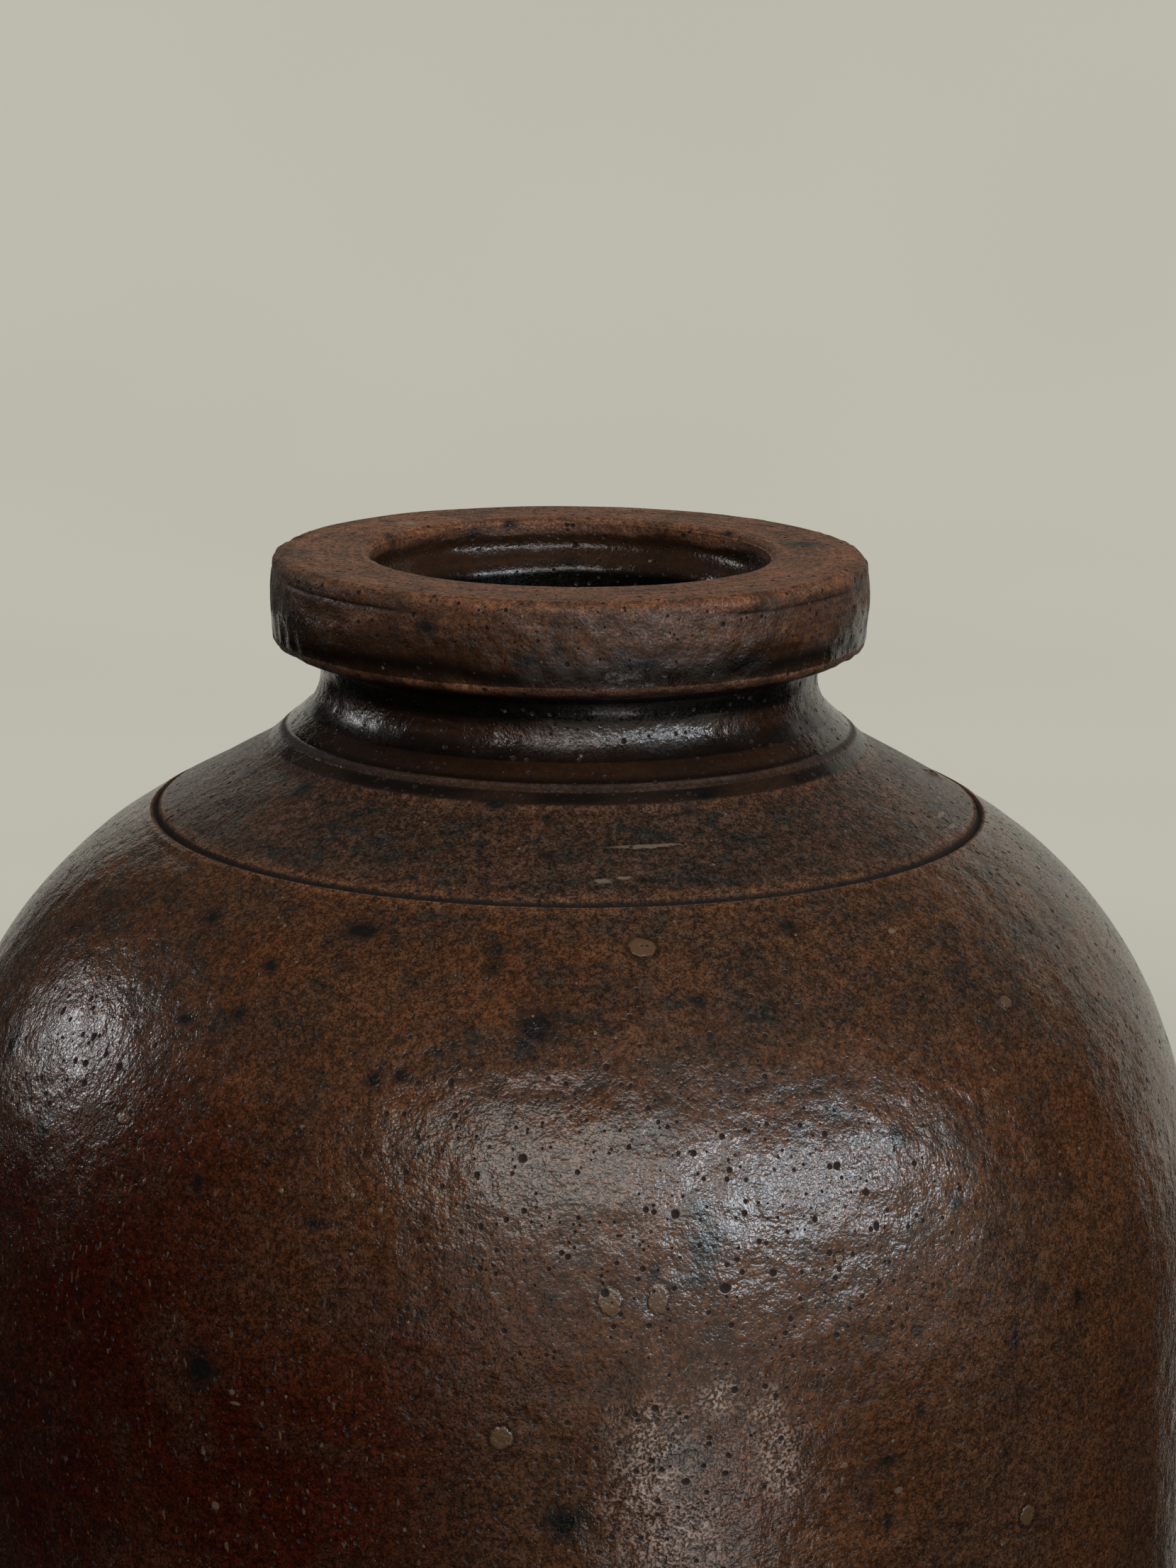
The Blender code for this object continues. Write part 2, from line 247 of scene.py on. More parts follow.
def floor_slab_rows():
    """The base disc, open at the axis, where the mesh closes it with a fan."""
    lip = (side_radius(FLOOR_SEAM_HEIGHT), FLOOR_SEAM_HEIGHT)
    foot_centre = (FOOT_RADIUS - FOOT_ROUND, FOOT_ROUND)
    return joined(
        on_line((HUB_RADIUS, FLOOR_THICKNESS), (TOE_RADIUS, FLOOR_THICKNESS), "under"),
        on_line((TOE_RADIUS, FLOOR_THICKNESS), lip, "seat"),
        on_side(FLOOR_SEAM_HEIGHT, FOOT_ROUND, 0.0, "foot"),
        on_arc(foot_centre, FOOT_ROUND, 0.0, -math.pi / 2, "edge"),
        on_line((foot_centre[0], 0.0), (HUB_RADIUS, 0.0), "under"),
    )


def lower_wall_rows():
    """The first thrown wall, from the seam in the belly down to the floor and up inside."""
    lip = (side_radius(FLOOR_SEAM_HEIGHT), FLOOR_SEAM_HEIGHT)
    toe = (TOE_RADIUS, FLOOR_THICKNESS)
    centre = (INNER_FOOT_CENTRE_RADIUS, INNER_FOOT_HEIGHT)
    inner_lip = (BODY_SEAM_RADIUS - WALL, BODY_SEAM_HEIGHT)
    return joined(
        on_side(BODY_SEAM_HEIGHT, FLOOR_SEAM_HEIGHT, 0.0, "foot"),
        on_line(lip, toe, "seat"),
        on_arc(centre, INNER_FOOT_ROUND, TOE_ANGLE, 0.0, "inside", hollow=True),
        on_side(BODY_SEAM_HEIGHT, INNER_FOOT_HEIGHT, WALL, "inside")[::-1],
        on_line(inner_lip, WEDGE, "seat"),
        on_line(WEDGE, (BODY_SEAM_RADIUS, BODY_SEAM_HEIGHT), "seat"),
    )


def upper_wall_rows():
    """The second thrown wall, from the incised line over the belly down to the body's seam."""
    lip_radius = GROOVE_RADIUS + GROOVE_WIDTH / 2
    lip = (lip_radius, cone_height(lip_radius))
    cone_foot = (CONE_FOOT_RADIUS, CONE_FOOT_HEIGHT)
    inner_lip = (BODY_SEAM_RADIUS - WALL, BODY_SEAM_HEIGHT)
    return joined(
        on_line(GROOVE_BOTTOM, lip, "groove", CONE_FACING),
        on_line(lip, cone_foot, "groove", CONE_FACING),
        on_arc(SHOULDER_CENTRE, SHOULDER_TURN, CONE_ANGLE, BELLY_ANGLE, "body"),
        on_arc(BELLY_CENTRE, BELLY_TURN, BELLY_ANGLE, 0.0, "body"),
        on_side(BODY_HEIGHT, BODY_SEAM_HEIGHT, 0.0, "body"),
        on_line((BODY_SEAM_RADIUS, BODY_SEAM_HEIGHT), WEDGE, "seat"),
        on_line(WEDGE, inner_lip, "seat"),
        on_side(BODY_HEIGHT, BODY_SEAM_HEIGHT, WALL, "inside")[::-1],
        on_arc(BELLY_CENTRE, BELLY_TURN - WALL, 0.0, BELLY_ANGLE, "inside", hollow=True),
        on_arc(
            SHOULDER_CENTRE, SHOULDER_TURN - WALL, BELLY_ANGLE, CONE_ANGLE, "inside", hollow=True
        ),
        on_line(SCARF_END, GROOVE_BOTTOM, "seat"),
    )


def shoulder_rows():
    """The coned shoulder, from the foot of the neck's ridge down to the incised line."""
    lip_radius = GROOVE_RADIUS - GROOVE_WIDTH / 2
    lip = (lip_radius, cone_height(lip_radius))
    heel = (HEEL_RADIUS, cone_height(HEEL_RADIUS))
    return joined(
        on_line(RIDGE_FOOT, heel, "splay", SPLAY_FACING),
        on_line(heel, lip, "cone", CONE_FACING),
        on_line(lip, GROOVE_BOTTOM, "groove", CONE_FACING),
        on_line(GROOVE_BOTTOM, SCARF_END, "seat"),
        on_line(SCARF_END, THROAT_FOOT, "inside"),
        on_line(THROAT_FOOT, RIDGE_FOOT, "seat"),
    )


def neck_collar_rows():
    """The waisted neck: the cove, the splay, its fine ridge, and the throat inside."""
    cove_centre = (COVE_CENTRE_RADIUS, WAIST_HEIGHT)
    cove_end = (COVE_END_RADIUS, splay_height(COVE_END_RADIUS))
    ridge_top_radius = RIDGE_RADIUS - RIDGE_WIDTH / 2
    ridge_top = (ridge_top_radius, splay_height(ridge_top_radius))
    crest = (RIDGE_RADIUS, splay_height(RIDGE_RADIUS) + RIDGE_RISE)
    throat_end = (THROAT_RADIUS, THROAT_CENTRE[1])
    seat = (THROAT_RADIUS, RIM_SEAT_HEIGHT)
    return joined(
        on_arc(
            cove_centre, COVE_RADIUS, math.pi - COVE_TOP, math.pi + COVE_SWEEP, "cove", hollow=True
        ),
        on_line(cove_end, ridge_top, "splay", SPLAY_FACING),
        on_line(ridge_top, crest, "groove", SPLAY_FACING),
        on_line(crest, RIDGE_FOOT, "groove", SPLAY_FACING),
        on_line(RIDGE_FOOT, THROAT_FOOT, "seat"),
        on_arc(THROAT_CENTRE, THROAT_ROUND, math.pi, math.pi + CONE_ANGLE, "mouth")[::-1],
        on_line(throat_end, seat, "mouth", (-1.0, 0.0)),
        on_line(seat, (NECK_TOP_RADIUS, NECK_TOP_HEIGHT), "seat"),
    )


def rim_ring_rows():
    """The thick flange: its rounded top edge, the barrelled band, the undercut and the mouth."""
    edge_radius = RIM_RADIUS - RIM_BULGE
    top_centre = (edge_radius - RIM_TOP_ROUND, JUG_HEIGHT - RIM_TOP_ROUND)
    lower_centre = (edge_radius - RIM_LOWER_ROUND, RIM_UNDERSIDE + RIM_LOWER_ROUND)
    mouth_centre = (MOUTH_RADIUS + MOUTH_ROUND, JUG_HEIGHT - MOUTH_ROUND)
    mouth_edge = (MOUTH_RADIUS, JUG_HEIGHT - MOUTH_BAND)
    seat = (THROAT_RADIUS, RIM_SEAT_HEIGHT)
    throat_top = (THROAT_RADIUS, JUG_HEIGHT - FLARE_DEPTH)
    neck_top = (NECK_TOP_RADIUS, NECK_TOP_HEIGHT)
    band_steps = math.ceil((top_centre[1] - lower_centre[1]) / ZONES["band"][0])
    band = []
    for share in np.linspace(0.0, 1.0, band_steps + 1):
        bulge = RIM_BULGE * (1.0 - (2.0 * share - 1.0) ** 2)
        height = top_centre[1] + (lower_centre[1] - top_centre[1]) * share
        band.append((edge_radius + bulge, height, 1.0, 0.0, "band"))
    return joined(
        on_arc(top_centre, RIM_TOP_ROUND, math.pi / 2, 0.0, "edge"),
        band,
        on_arc(lower_centre, RIM_LOWER_ROUND, 0.0, -math.pi / 2, "edge"),
        on_line((lower_centre[0], RIM_UNDERSIDE), neck_top, "mouth", (0.0, -1.0)),
        on_line(neck_top, seat, "seat"),
        on_line(seat, throat_top, "mouth", (-1.0, 0.0)),
        on_ease(throat_top, mouth_edge, "mouth"),
        on_line(mouth_edge, (MOUTH_RADIUS, mouth_centre[1]), "mouth", (-1.0, 0.0)),
        on_arc(mouth_centre, MOUTH_ROUND, math.pi / 2, math.pi, "edge")[::-1],
        on_line((mouth_centre[0], JUG_HEIGHT), (top_centre[0], JUG_HEIGHT), "top", (0.0, 1.0)),
    )


# The photograph's view
PHOTO_WIDTH = 1659
PHOTO_HEIGHT = 2212
FOCAL_PIXELS = 5500.0
SENSOR = 36.0
CAMERA_DISTANCE = 0.767
CAMERA_RISE = 0.1286
CAMERA_PITCH = math.radians(12.95)
CAMERA_YAW = math.radians(0.30)
CAMERA_ROLL = math.radians(0.59)


def camera_axes():
    """The camera's place, and its directions ahead, right and up, in the jug's frame."""
    ahead = Vector(
        (
            math.sin(CAMERA_YAW) * math.cos(CAMERA_PITCH),
            math.cos(CAMERA_YAW) * math.cos(CAMERA_PITCH),
            -math.sin(CAMERA_PITCH),
        )
    )
    level = Vector((math.cos(CAMERA_YAW), -math.sin(CAMERA_YAW), 0.0))
    upright = level.cross(ahead)
    right = level * math.cos(CAMERA_ROLL) + upright * math.sin(CAMERA_ROLL)
    up = upright * math.cos(CAMERA_ROLL) - level * math.sin(CAMERA_ROLL)
    return Vector((0.0, -CAMERA_DISTANCE, JUG_HEIGHT + CAMERA_RISE)), ahead, right, up


def node_trees():
    """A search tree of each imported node's surface."""
    trees = []
    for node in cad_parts.values():
        points = [vertex.co for vertex in node.data.vertices]
        faces = [face.vertices for face in node.data.polygons]
        trees.append(BVHTree.FromPolygons(points, faces))
    return trees


NODE_TREES = node_trees()


def on_surface(across, down):
    """The place on the jug that the camera sees at a pixel of the photograph.

    A pixel just outside the outline is moved towards the middle until the ray meets the jug.
    """
    origin, ahead, right, up = camera_axes()
    hits = []
    while not hits:
        ray = ahead + right * ((across - PHOTO_WIDTH / 2) / FOCAL_PIXELS)
        ray += up * ((PHOTO_HEIGHT / 2 - down) / FOCAL_PIXELS)
        ray.normalize()
        hits = [tree.ray_cast(origin, ray) for tree in NODE_TREES]
        hits = [hit for hit in hits if hit[0] is not None]
        across += 0.01 * (PHOTO_WIDTH / 2 - across)
        down += 0.01 * (PHOTO_HEIGHT / 2 - down)
    return np.array(min(hits, key=lambda hit: hit[3])[0])


# Factors of the lattice's hash, which mixes a cell's three numbers and the seed
CELL_FACTORS = (374761393, 668265263, 2246822519)
SEED_FACTOR = 3266489
SEED_OFFSET = 12345
MIX_FACTOR = 1274126177
LOW_BITS = 65535


def lattice(cells, seed):
    """A steady value from -1 to 1 for each whole-numbered cell."""
    mixed = cells.astype(np.int64).astype(np.uint32)
    code = mixed[:, 0] * np.uint32(CELL_FACTORS[0]) + mixed[:, 1] * np.uint32(CELL_FACTORS[1])
    code = code + mixed[:, 2] * np.uint32(CELL_FACTORS[2])
    code = code + np.uint32(seed * SEED_FACTOR + SEED_OFFSET)
    code = (code ^ (code >> np.uint32(13))) * np.uint32(MIX_FACTOR)
    code = code ^ (code >> np.uint32(16))
    return (code & np.uint32(LOW_BITS)).astype(np.float64) / (LOW_BITS / 2) - 1.0


def noise(points, size, seed):
    """Smooth noise from -1 to 1 with features of about size, one value for each point."""
    scaled = points / size
    cells = np.floor(scaled)
    share = scaled - cells
    share = share * share * (3.0 - 2.0 * share)
    total = np.zeros(len(points))
    for corner in range(8):
        step = np.array([corner & 1, corner >> 1 & 1, corner >> 2 & 1])
        weight = np.prod(np.where(step == 1, share, 1.0 - share), axis=1)
        total += weight * lattice(cells + step, seed)
    return total


def smooth(low, high, values):
    """0 up to low, 1 from high on, and a smooth step between."""
    share = np.clip((values - low) / (high - low), 0.0, 1.0)
    return share * share * (3.0 - 2.0 * share)


def bell(values, width):
    """1 where the values are 0, falling to nothing a few widths away."""
    return np.exp(-((values / width) ** 2))


# Marks that the photograph shows. Pixel across and down, then half the width and half the height,
# or the radius, all in pixels. A lump's last number is how far it stands out, in metres.
IRON_SPOTS = (
    (757, 1449, 23, 21), (1000, 1753, 18, 16), (796, 2150, 20, 16), (22, 1467, 12, 18),
    (62, 1583, 9, 17), (381, 1363, 10, 9), (337, 1431, 9, 8), (510, 1313, 22, 9),
    (566, 1518, 10, 9), (528, 1524, 10, 9), (1178, 1570, 9, 8), (1266, 1605, 10, 6),
    (985, 1808, 12, 7), (924, 1795, 7, 8), (1433, 1887, 5, 17), (1252, 2060, 9, 7),
    (1252, 2148, 5, 9), (958, 2053, 8, 5), (993, 2066, 5, 5), (262, 1437, 12, 6), (279, 1666, 8, 9),
    (443, 1727, 11, 6), (1350, 1696, 9, 7), (1521, 1829, 8, 10), (282, 1931, 19, 19),
)
PITS = (
    (636, 1527, 4, 15), (953, 1713, 6, 6), (1181, 1644, 5, 5), (1222, 1682, 5, 5),
    (1050, 1712, 4, 4), (1149, 1720, 4, 4), (1237, 1729, 4, 7), (1091, 1796, 5, 5),
    (1023, 1817, 8, 7), (853, 1824, 6, 6), (924, 1987, 5, 5), (1036, 1961, 5, 5), (967, 2091, 5, 5),
    (132, 1462, 5, 6), (149, 1487, 4, 5), (169, 1506, 5, 6), (120, 1500, 6, 4), (89, 1425, 4, 9),
    (129, 1408, 3, 8), (117, 1528, 6, 5), (252, 1595, 5, 5), (855, 1505, 5, 5), (737, 1634, 6, 5),
)
DISCS = (
    (860, 1836, 19, 21), (928, 1833, 16, 23), (706, 2029, 18, 18), (1451, 2139, 15, 17),
    (907, 1336, 21, 15), (1420, 1412, 12, 11), (173, 1578, 15, 9), (1185, 1775, 8, 8),
)
FLECKS = (
    (1141, 1745, 4, 4), (249, 1493, 2, 10), (287, 1486, 2, 8), (1260, 1313, 8, 4),
    (1192, 2068, 6, 5), (1268, 2103, 8, 6), (332, 1980, 9, 3), (304, 2124, 7, 7), (425, 1589, 4, 4),
    (396, 1679, 4, 5), (496, 1686, 4, 4), (536, 1707, 4, 4), (327, 1964, 5, 5),
)
SHOULDER_SPOTS = ((996, 1123, 8, 4), (700, 1135, 16, 4), (1280, 1080, 6, 4))
SHOULDER_FLECKS = (
    (598, 1160, 3, 15), (850, 1243, 14, 3), (880, 1238, 12, 2), (912, 1194, 60, 2),
    (1263, 1065, 4, 3), (1330, 1150, 22, 2), (1345, 1166, 18, 2),
)
RIM_SPOTS = (
    (600, 884, 11, 9), (385, 886, 7, 8), (1218, 896, 7, 8), (1131, 767, 20, 3), (720, 738, 8, 6),
    (1024, 752, 9, 4), (744, 935, 14, 9), (905, 940, 30, 7), (1050, 935, 24, 8),
)
RIM_FLECKS = (
    (1052, 894, 4, 4), (1052, 912, 3, 3), (1155, 826, 7, 4), (573, 737, 18, 2), (1180, 905, 4, 4),
    (850, 893, 5, 2),
)
LUMPS = ((1316, 1090, 14, 0.00060), (415, 757, 20, -0.0006), (1207, 930, 14, -0.0004))
WET_PATCHES = (
    (1048, 1700, 40), (1095, 1705, 34), (1190, 1668, 36), (1240, 1672, 32), (1230, 1798, 24),
    (1110, 1795, 22), (962, 1716, 18), (1072, 1612, 22), (105, 1435, 46), (155, 1440, 40),
    (110, 1490, 44), (130, 1565, 42), (72, 1525, 34),
)
# The pale crust low on the front is partly a painted highlight: its pale speckle stands for the
# sheen there
CRUST_HIGHLIGHT_PATCHES = (
    (925, 2030, 50), (920, 2100, 58), (950, 2170, 60), (1100, 2035, 34), (1100, 2085, 38),
    (1085, 1985, 26), (1010, 1975, 30),
)
SHEEN_AREAS = ((860, 1640, 170), (1000, 1640, 170), (1160, 1640, 130), (120, 1480, 70))
DEEP_RED_AREAS = ((150, 1850, 330), (350, 2100, 330), (60, 2100, 260), (30, 1700, 130))
ORANGE_AREAS = (
    (1546, 1703, 90), (630, 860, 40), (1125, 870, 50), (1180, 2180, 90), (350, 1530, 50),
    (560, 1560, 40), (975, 1635, 28),
)
DUSK_AREAS = (
    (120, 1330, 80), (330, 1330, 60), (420, 1345, 70), (525, 1309, 60), (640, 1300, 50),
    (740, 1470, 40), (545, 1475, 50), (860, 1350, 80), (970, 1390, 60), (1070, 1440, 60),
    (1340, 1330, 70), (930, 1800, 70), (1000, 1750, 60), (1240, 1600, 70), (1350, 1640, 60),
    (790, 2140, 50), (960, 2060, 60), (1230, 2090, 60), (290, 1600, 60),
)

# Areas strewn over the back: how many, their sizes, the lowest, and the Y where the back starts
RANDOM_AREAS = 16
RANDOM_SIZES = (0.014, 0.045)
LOWEST_AREA = 0.02
BACK_STARTS = 0.02
SEED = 11


def random_marks(count, smallest, largest, seed):
    """Marks strewn evenly over the outside of the body: centre and radius of each."""
    random = np.random.default_rng(seed)
    marks = []
    while len(marks) < count:
        height = random.uniform(LOWEST_AREA, cone_height(HEEL_RADIUS))
        angle = random.uniform(0.0, math.tau)
        size = smallest + (largest - smallest) * random.uniform(0.0, 1.0) ** 3
        radius = outside_radius(height)
        centre = np.array([radius * math.cos(angle), radius * math.sin(angle), height])
        marks.append((centre, size))
    return marks


def outside_radius(height):
    """Radius of the body's outside at a height, up to the neck."""
    if height < BODY_HEIGHT:
        return side_radius(max(height, FOOT_ROUND))
    belly_top = BELLY_CENTRE[1] + BELLY_TURN * math.sin(BELLY_ANGLE)
    if height < belly_top:
        return BELLY_CENTRE[0] + math.sqrt(BELLY_TURN**2 - (height - BELLY_CENTRE[1]) ** 2)
    if height < CONE_FOOT_HEIGHT:
        rise = height - SHOULDER_CENTRE[1]
        return SHOULDER_CENTRE[0] + math.sqrt(SHOULDER_TURN**2 - rise**2)
    return CONE_FOOT_RADIUS - (height - CONE_FOOT_HEIGHT) / math.tan(CONE_SLOPE)


CAMERA_PLACE = np.array(camera_axes()[0])


def found_mark(across, down):
    """The place on the jug at a pixel of the photograph, and the size of a pixel there."""
    centre = on_surface(across, down)
    return centre, np.linalg.norm(centre - CAMERA_PLACE) / FOCAL_PIXELS


def placed(marks):
    """Marks given by a pixel and a radius in pixels, as centre, radius in metres, and the rest."""
    found = []
    for across, down, pixels, *rest in marks:
        centre, pixel = found_mark(across, down)
        found.append((centre, pixels * pixel, *rest))
    return found


def ovals(marks):
    """Marks given by a pixel and two half sizes in pixels, as centre and radii in metres."""
    found = []
    for across, down, wide, high in marks:
        centre, pixel = found_mark(across, down)
        found.append((centre, np.array([wide * pixel, wide * pixel, high * pixel])))
    return found


LUMP_MARKS = placed(LUMPS)
CRUST_HIGHLIGHT_MARKS = placed(CRUST_HIGHLIGHT_PATCHES)

# Stains of the photograph: the mask, the marks, how strong and how soft
STAINS = (
    ("red", placed(DEEP_RED_AREAS), 1.0, 0.8),
    ("rust", placed(ORANGE_AREAS), 0.35, 0.9),
    ("dusk", placed(DUSK_AREAS), 0.9, 0.9),
    ("crust_and_highlight", CRUST_HIGHLIGHT_MARKS, 1.0, 0.9),
    ("gloss", CRUST_HIGHLIGHT_MARKS, 0.9, 0.8),
    ("gloss", placed(SHEEN_AREAS), 0.62, 0.9),
    ("gloss", placed(WET_PATCHES), 1.0, 0.8),
)

# Stains strewn by turns over the back: the mask and how strong
# The pale crust among them is partly a painted highlight, like the one low on the front
STREWN_STAINS = (("red", 0.9), ("rust", 0.3), ("crust_and_highlight", 0.6), ("dusk", 0.8))
STREWN_AREAS = random_marks(RANDOM_AREAS, *RANDOM_SIZES, SEED)
MASKS = ("rust", "shade_and_dark_glaze", "gloss", "red", "deep", "dusk", "crust_and_highlight", "matt")


class Skin:
    """The grid of one section's skin while it is worked: places, facings, zones and masks."""

    def __init__(self, rows, columns):
        self.columns = columns
        self.count = len(rows)
        table = np.array([row[:4] for row in rows])
        self.zone = np.repeat([ZONE_NAMES.index(row[4]) for row in rows], columns)
        strength = np.array([ZONES[row[4]][1] for row in rows])
        self.strength = np.repeat(strength, columns)
        angles = np.arange(columns) * (math.tau / columns)
        self.angle = np.tile(angles, self.count)
        self.row_radius = table[:, 0]
        self.row_height = table[:, 1]
        self.radius = np.repeat(table[:, 0], columns)
        self.height = np.repeat(table[:, 1], columns)
        outward = np.stack([np.cos(self.angle), np.sin(self.angle)], axis=1)
        self.places = np.column_stack([outward * self.radius[:, None], self.height])
        self.facing = np.column_stack(
            [outward * np.repeat(table[:, 2], columns)[:, None], np.repeat(table[:, 3], columns)]
        )
        self.relief = np.zeros(len(self.places))
        self.masks = {name: np.zeros(len(self.places)) for name in MASKS}

    def is_in(self, *zones):
        """1 where a point is in one of these zones."""
        return np.isin(self.zone, [ZONE_NAMES.index(zone) for zone in zones]).astype(float)

    def near(self, centre, reach):
        """The points within reach of centre, and their distances."""
        radius = math.hypot(centre[0], centre[1])
        close = np.abs(self.row_height - centre[2]) < reach
        rows = np.flatnonzero(close & (np.abs(self.row_radius - radius) < reach))
        step = math.tau / self.columns
        half = min(math.ceil(reach / radius / step), self.columns // 2 - 1)
        middle = round(math.atan2(centre[1], centre[0]) / step)
        columns = np.arange(middle - half, middle + half + 1) % self.columns
        found = (rows[:, None] * self.columns + columns).ravel()
        distance = np.linalg.norm(self.places[found] - centre, axis=1)
        inside = distance < reach
        return found[inside], distance[inside]

    def raise_mask(self, mask, values, points=slice(None)):
        """Raises a mask to these values where it is lower."""
        self.masks[mask][points] = np.maximum(self.masks[mask][points], values)

    def stain(self, mask, centre, size, amount=1.0, soft=0.5):
        """Raises a mask round centre, with an uneven soft edge."""
        found, distance = self.near(centre, size * 1.8)
        if len(found):
            ragged = distance * (1.0 + 0.35 * noise(self.places[found], size * 0.6, 31))
            edge = smooth(size * (1.0 - soft), size * (1.0 + soft * 0.5), ragged)
            self.raise_mask(mask, amount * (1.0 - edge), found)

    def dent(self, centre, size, out, flat=0.0):
        """Pushes the surface round centre out or in by out. A flat one is level in the middle."""
        found, distance = self.near(centre, size * 1.6)
        if len(found):
            self.relief[found] += out * (1.0 - smooth(size * flat, size * 1.15, distance))


# How far the work round the incised line and the ridge reaches, and two places on the flange
NEAR_LINE = 0.004
NEAR_RIDGE = 0.003
FLANGE_LINE_DROP = 0.0034
THROAT_CLEAR = 0.002


def work_body(skin):
    """Relief of the body's outside: the thrower's rings and lumps in the glaze."""
    outside = skin.is_in("body", "foot", "cone", "groove", "splay") * skin.strength
    places = skin.places
    around = places * np.array([1.0, 1.0, 6.0])
    wobble = 0.00022 * (noise(places, 0.11, 1) - 1.0)
    ring_phase = skin.height / 0.0072 + 0.9 * noise(places, 0.09, 2)
    rings = 0.00002 * np.sin(math.tau * ring_phase) * (0.6 + 0.4 * noise(places, 0.06, 3))
    lumps = 0.00014 * noise(places, 0.013, 4) + 0.00007 * noise(places, 0.0055, 5)
    drag = 0.00003 * noise(around, 0.012, 6)
    skin.relief += outside * (wobble + rings + lumps + drag)
    skin.relief -= 0.00016 * skin.is_in("body", "foot") * outside
    near_line = skin.is_in("groove", "cone", "body") * (skin.height > CONE_FOOT_HEIGHT - NEAR_LINE)
    skin.relief -= 0.0004 * near_line * bell(skin.radius - GROOVE_RADIUS, 0.00045)
    near_ridge = skin.is_in("groove", "splay") * (skin.height > RIDGE_FOOT[1] - NEAR_RIDGE)
    skin.relief -= 0.0003 * near_ridge * bell(skin.radius - RIDGE_RADIUS, 0.0004)


def work_rim(skin):
    """Relief of the flange and the mouth: leathery band, turning lines on the top, drips inside."""
    places = skin.places
    leather = 0.00016 * noise(places, 0.0060, 7) + 0.00022 * noise(places, 0.0027, 8) - 0.00040
    turned = np.column_stack([skin.radius, skin.height, skin.angle * 0.004])
    lines = 0.00005 * noise(turned, 0.0011, 9) + 0.00003 * noise(turned, 0.0005, 10) - 0.0001
    line_depth = 0.00026 * smooth(-0.3, 0.3, noise(places, 0.05, 12))
    cut = line_depth * bell(skin.height - (JUG_HEIGHT - FLANGE_LINE_DROP), 0.0003)
    skin.relief += skin.is_in("band", "edge") * (leather - cut) + skin.is_in("top") * lines
    throat = skin.is_in("mouth") * (skin.radius < NECK_TOP_RADIUS - THROAT_CLEAR)
    depth = JUG_HEIGHT - skin.height
    throat *= smooth(0.0030, 0.0060, depth)
    drips = 0.00022 * noise(places, 0.0085, 13) + 0.00013 * noise(places, 0.0036, 14)
    skin.relief -= throat * (0.00035 + drips * (1.0 - 0.95 * smooth(0.0095, 0.0120, depth)))
    skin.relief -= skin.is_in("cove") * (0.00010 + 0.00009 * noise(places, 0.0040, 15))


def add_marks(skin):
    """The larger marks of the photograph, and areas strewn over the back."""
    for centre, size, out in LUMP_MARKS:
        skin.dent(centre, size, out, flat=0.3)
    for mask, marks, amount, soft in STAINS:
        for centre, size in marks:
            skin.stain(mask, centre, size, amount, soft)
    for number, (centre, size) in enumerate(STREWN_AREAS):
        if centre[1] > BACK_STARTS:
            mask, amount = STREWN_STAINS[number % len(STREWN_STAINS)]
            skin.stain(mask, centre, size, amount, 0.8)
    skin.masks["dusk"] *= 1.0 - 0.9 * skin.masks["red"]


def add_wetness(skin):
    """How glossy and how dark each zone of the jug is, with painted shade under the flange and deep
    in the throat.
    """
    places = skin.places
    zone = skin.is_in
    depth = JUG_HEIGHT - skin.height
    drift = 0.006 * noise(places, 0.030, 25) + 0.004 * noise(places, 0.008, 26)
    wet_body = 0.48 - 0.40 * smooth(0.262, 0.289, skin.height + drift)
    body = zone("body", "foot") * wet_body * (1.0 + 0.25 * noise(places, 0.012, 27))
    mouth = zone("mouth") * smooth(0.0022, 0.0036, depth + 0.0012 * noise(places, 0.007, 29))
    low_band = smooth(0.0055, 0.0125, depth + 0.0030 * noise(places, 0.012, 28))
    low_band *= 0.8 * zone("band")
    wet = body + mouth + 0.62 * zone("cove", "inside", "seat") + 0.9 * low_band
    wet += 0.40 * zone("splay") + 0.42 * zone("band") + 0.12 * zone("cone", "groove")
    skin.masks["gloss"] = np.clip(wet, 0.0, 1.0)
    # Painted shade: near-black under the flange and on its underside, and deep in the throat, where
    # shade falls. Low in the cove the same mask is the neck's dark glaze.
    undercut = smooth(NECK_TOP_HEIGHT - 0.0056, NECK_TOP_HEIGHT - 0.0030, skin.height)
    low_cove = smooth(0.0, 0.0030, WAIST_HEIGHT - 0.0026 - skin.height)
    shade_and_dark_glaze = zone("cove") * np.maximum(undercut, 0.85 * low_cove)
    below_flange = zone("mouth") * (skin.radius > NECK_TOP_RADIUS)
    shade_and_dark_glaze += below_flange * (skin.height > NECK_TOP_HEIGHT - 0.001)
    throat = zone("mouth") * (skin.radius < NECK_TOP_RADIUS - THROAT_CLEAR)
    skin.masks["shade_and_dark_glaze"] = np.clip(shade_and_dark_glaze + throat * smooth(0.0085, 0.0115, depth), 0.0, 1.0)
    deep = 0.9 * mouth + 0.35 * zone("band") + 0.6 * low_band + 0.55 * zone("cove")
    deep += 0.85 * zone("splay") * (skin.radius < RIDGE_RADIUS + 0.003)
    deep += 0.6 * zone("groove") * (skin.height > RIDGE_FOOT[1] - NEAR_LINE)
    skin.masks["deep"] = np.clip(deep, 0.0, 1.0)
    dusk = 0.85 * zone("cone", "groove") + 0.25 * zone("band", "edge")
    dusk += zone("body", "foot") * (0.18 + 0.47 * smooth(0.252, 0.285, skin.height + drift))
    skin.masks["dusk"] = np.clip(dusk, 0.0, 1.0)


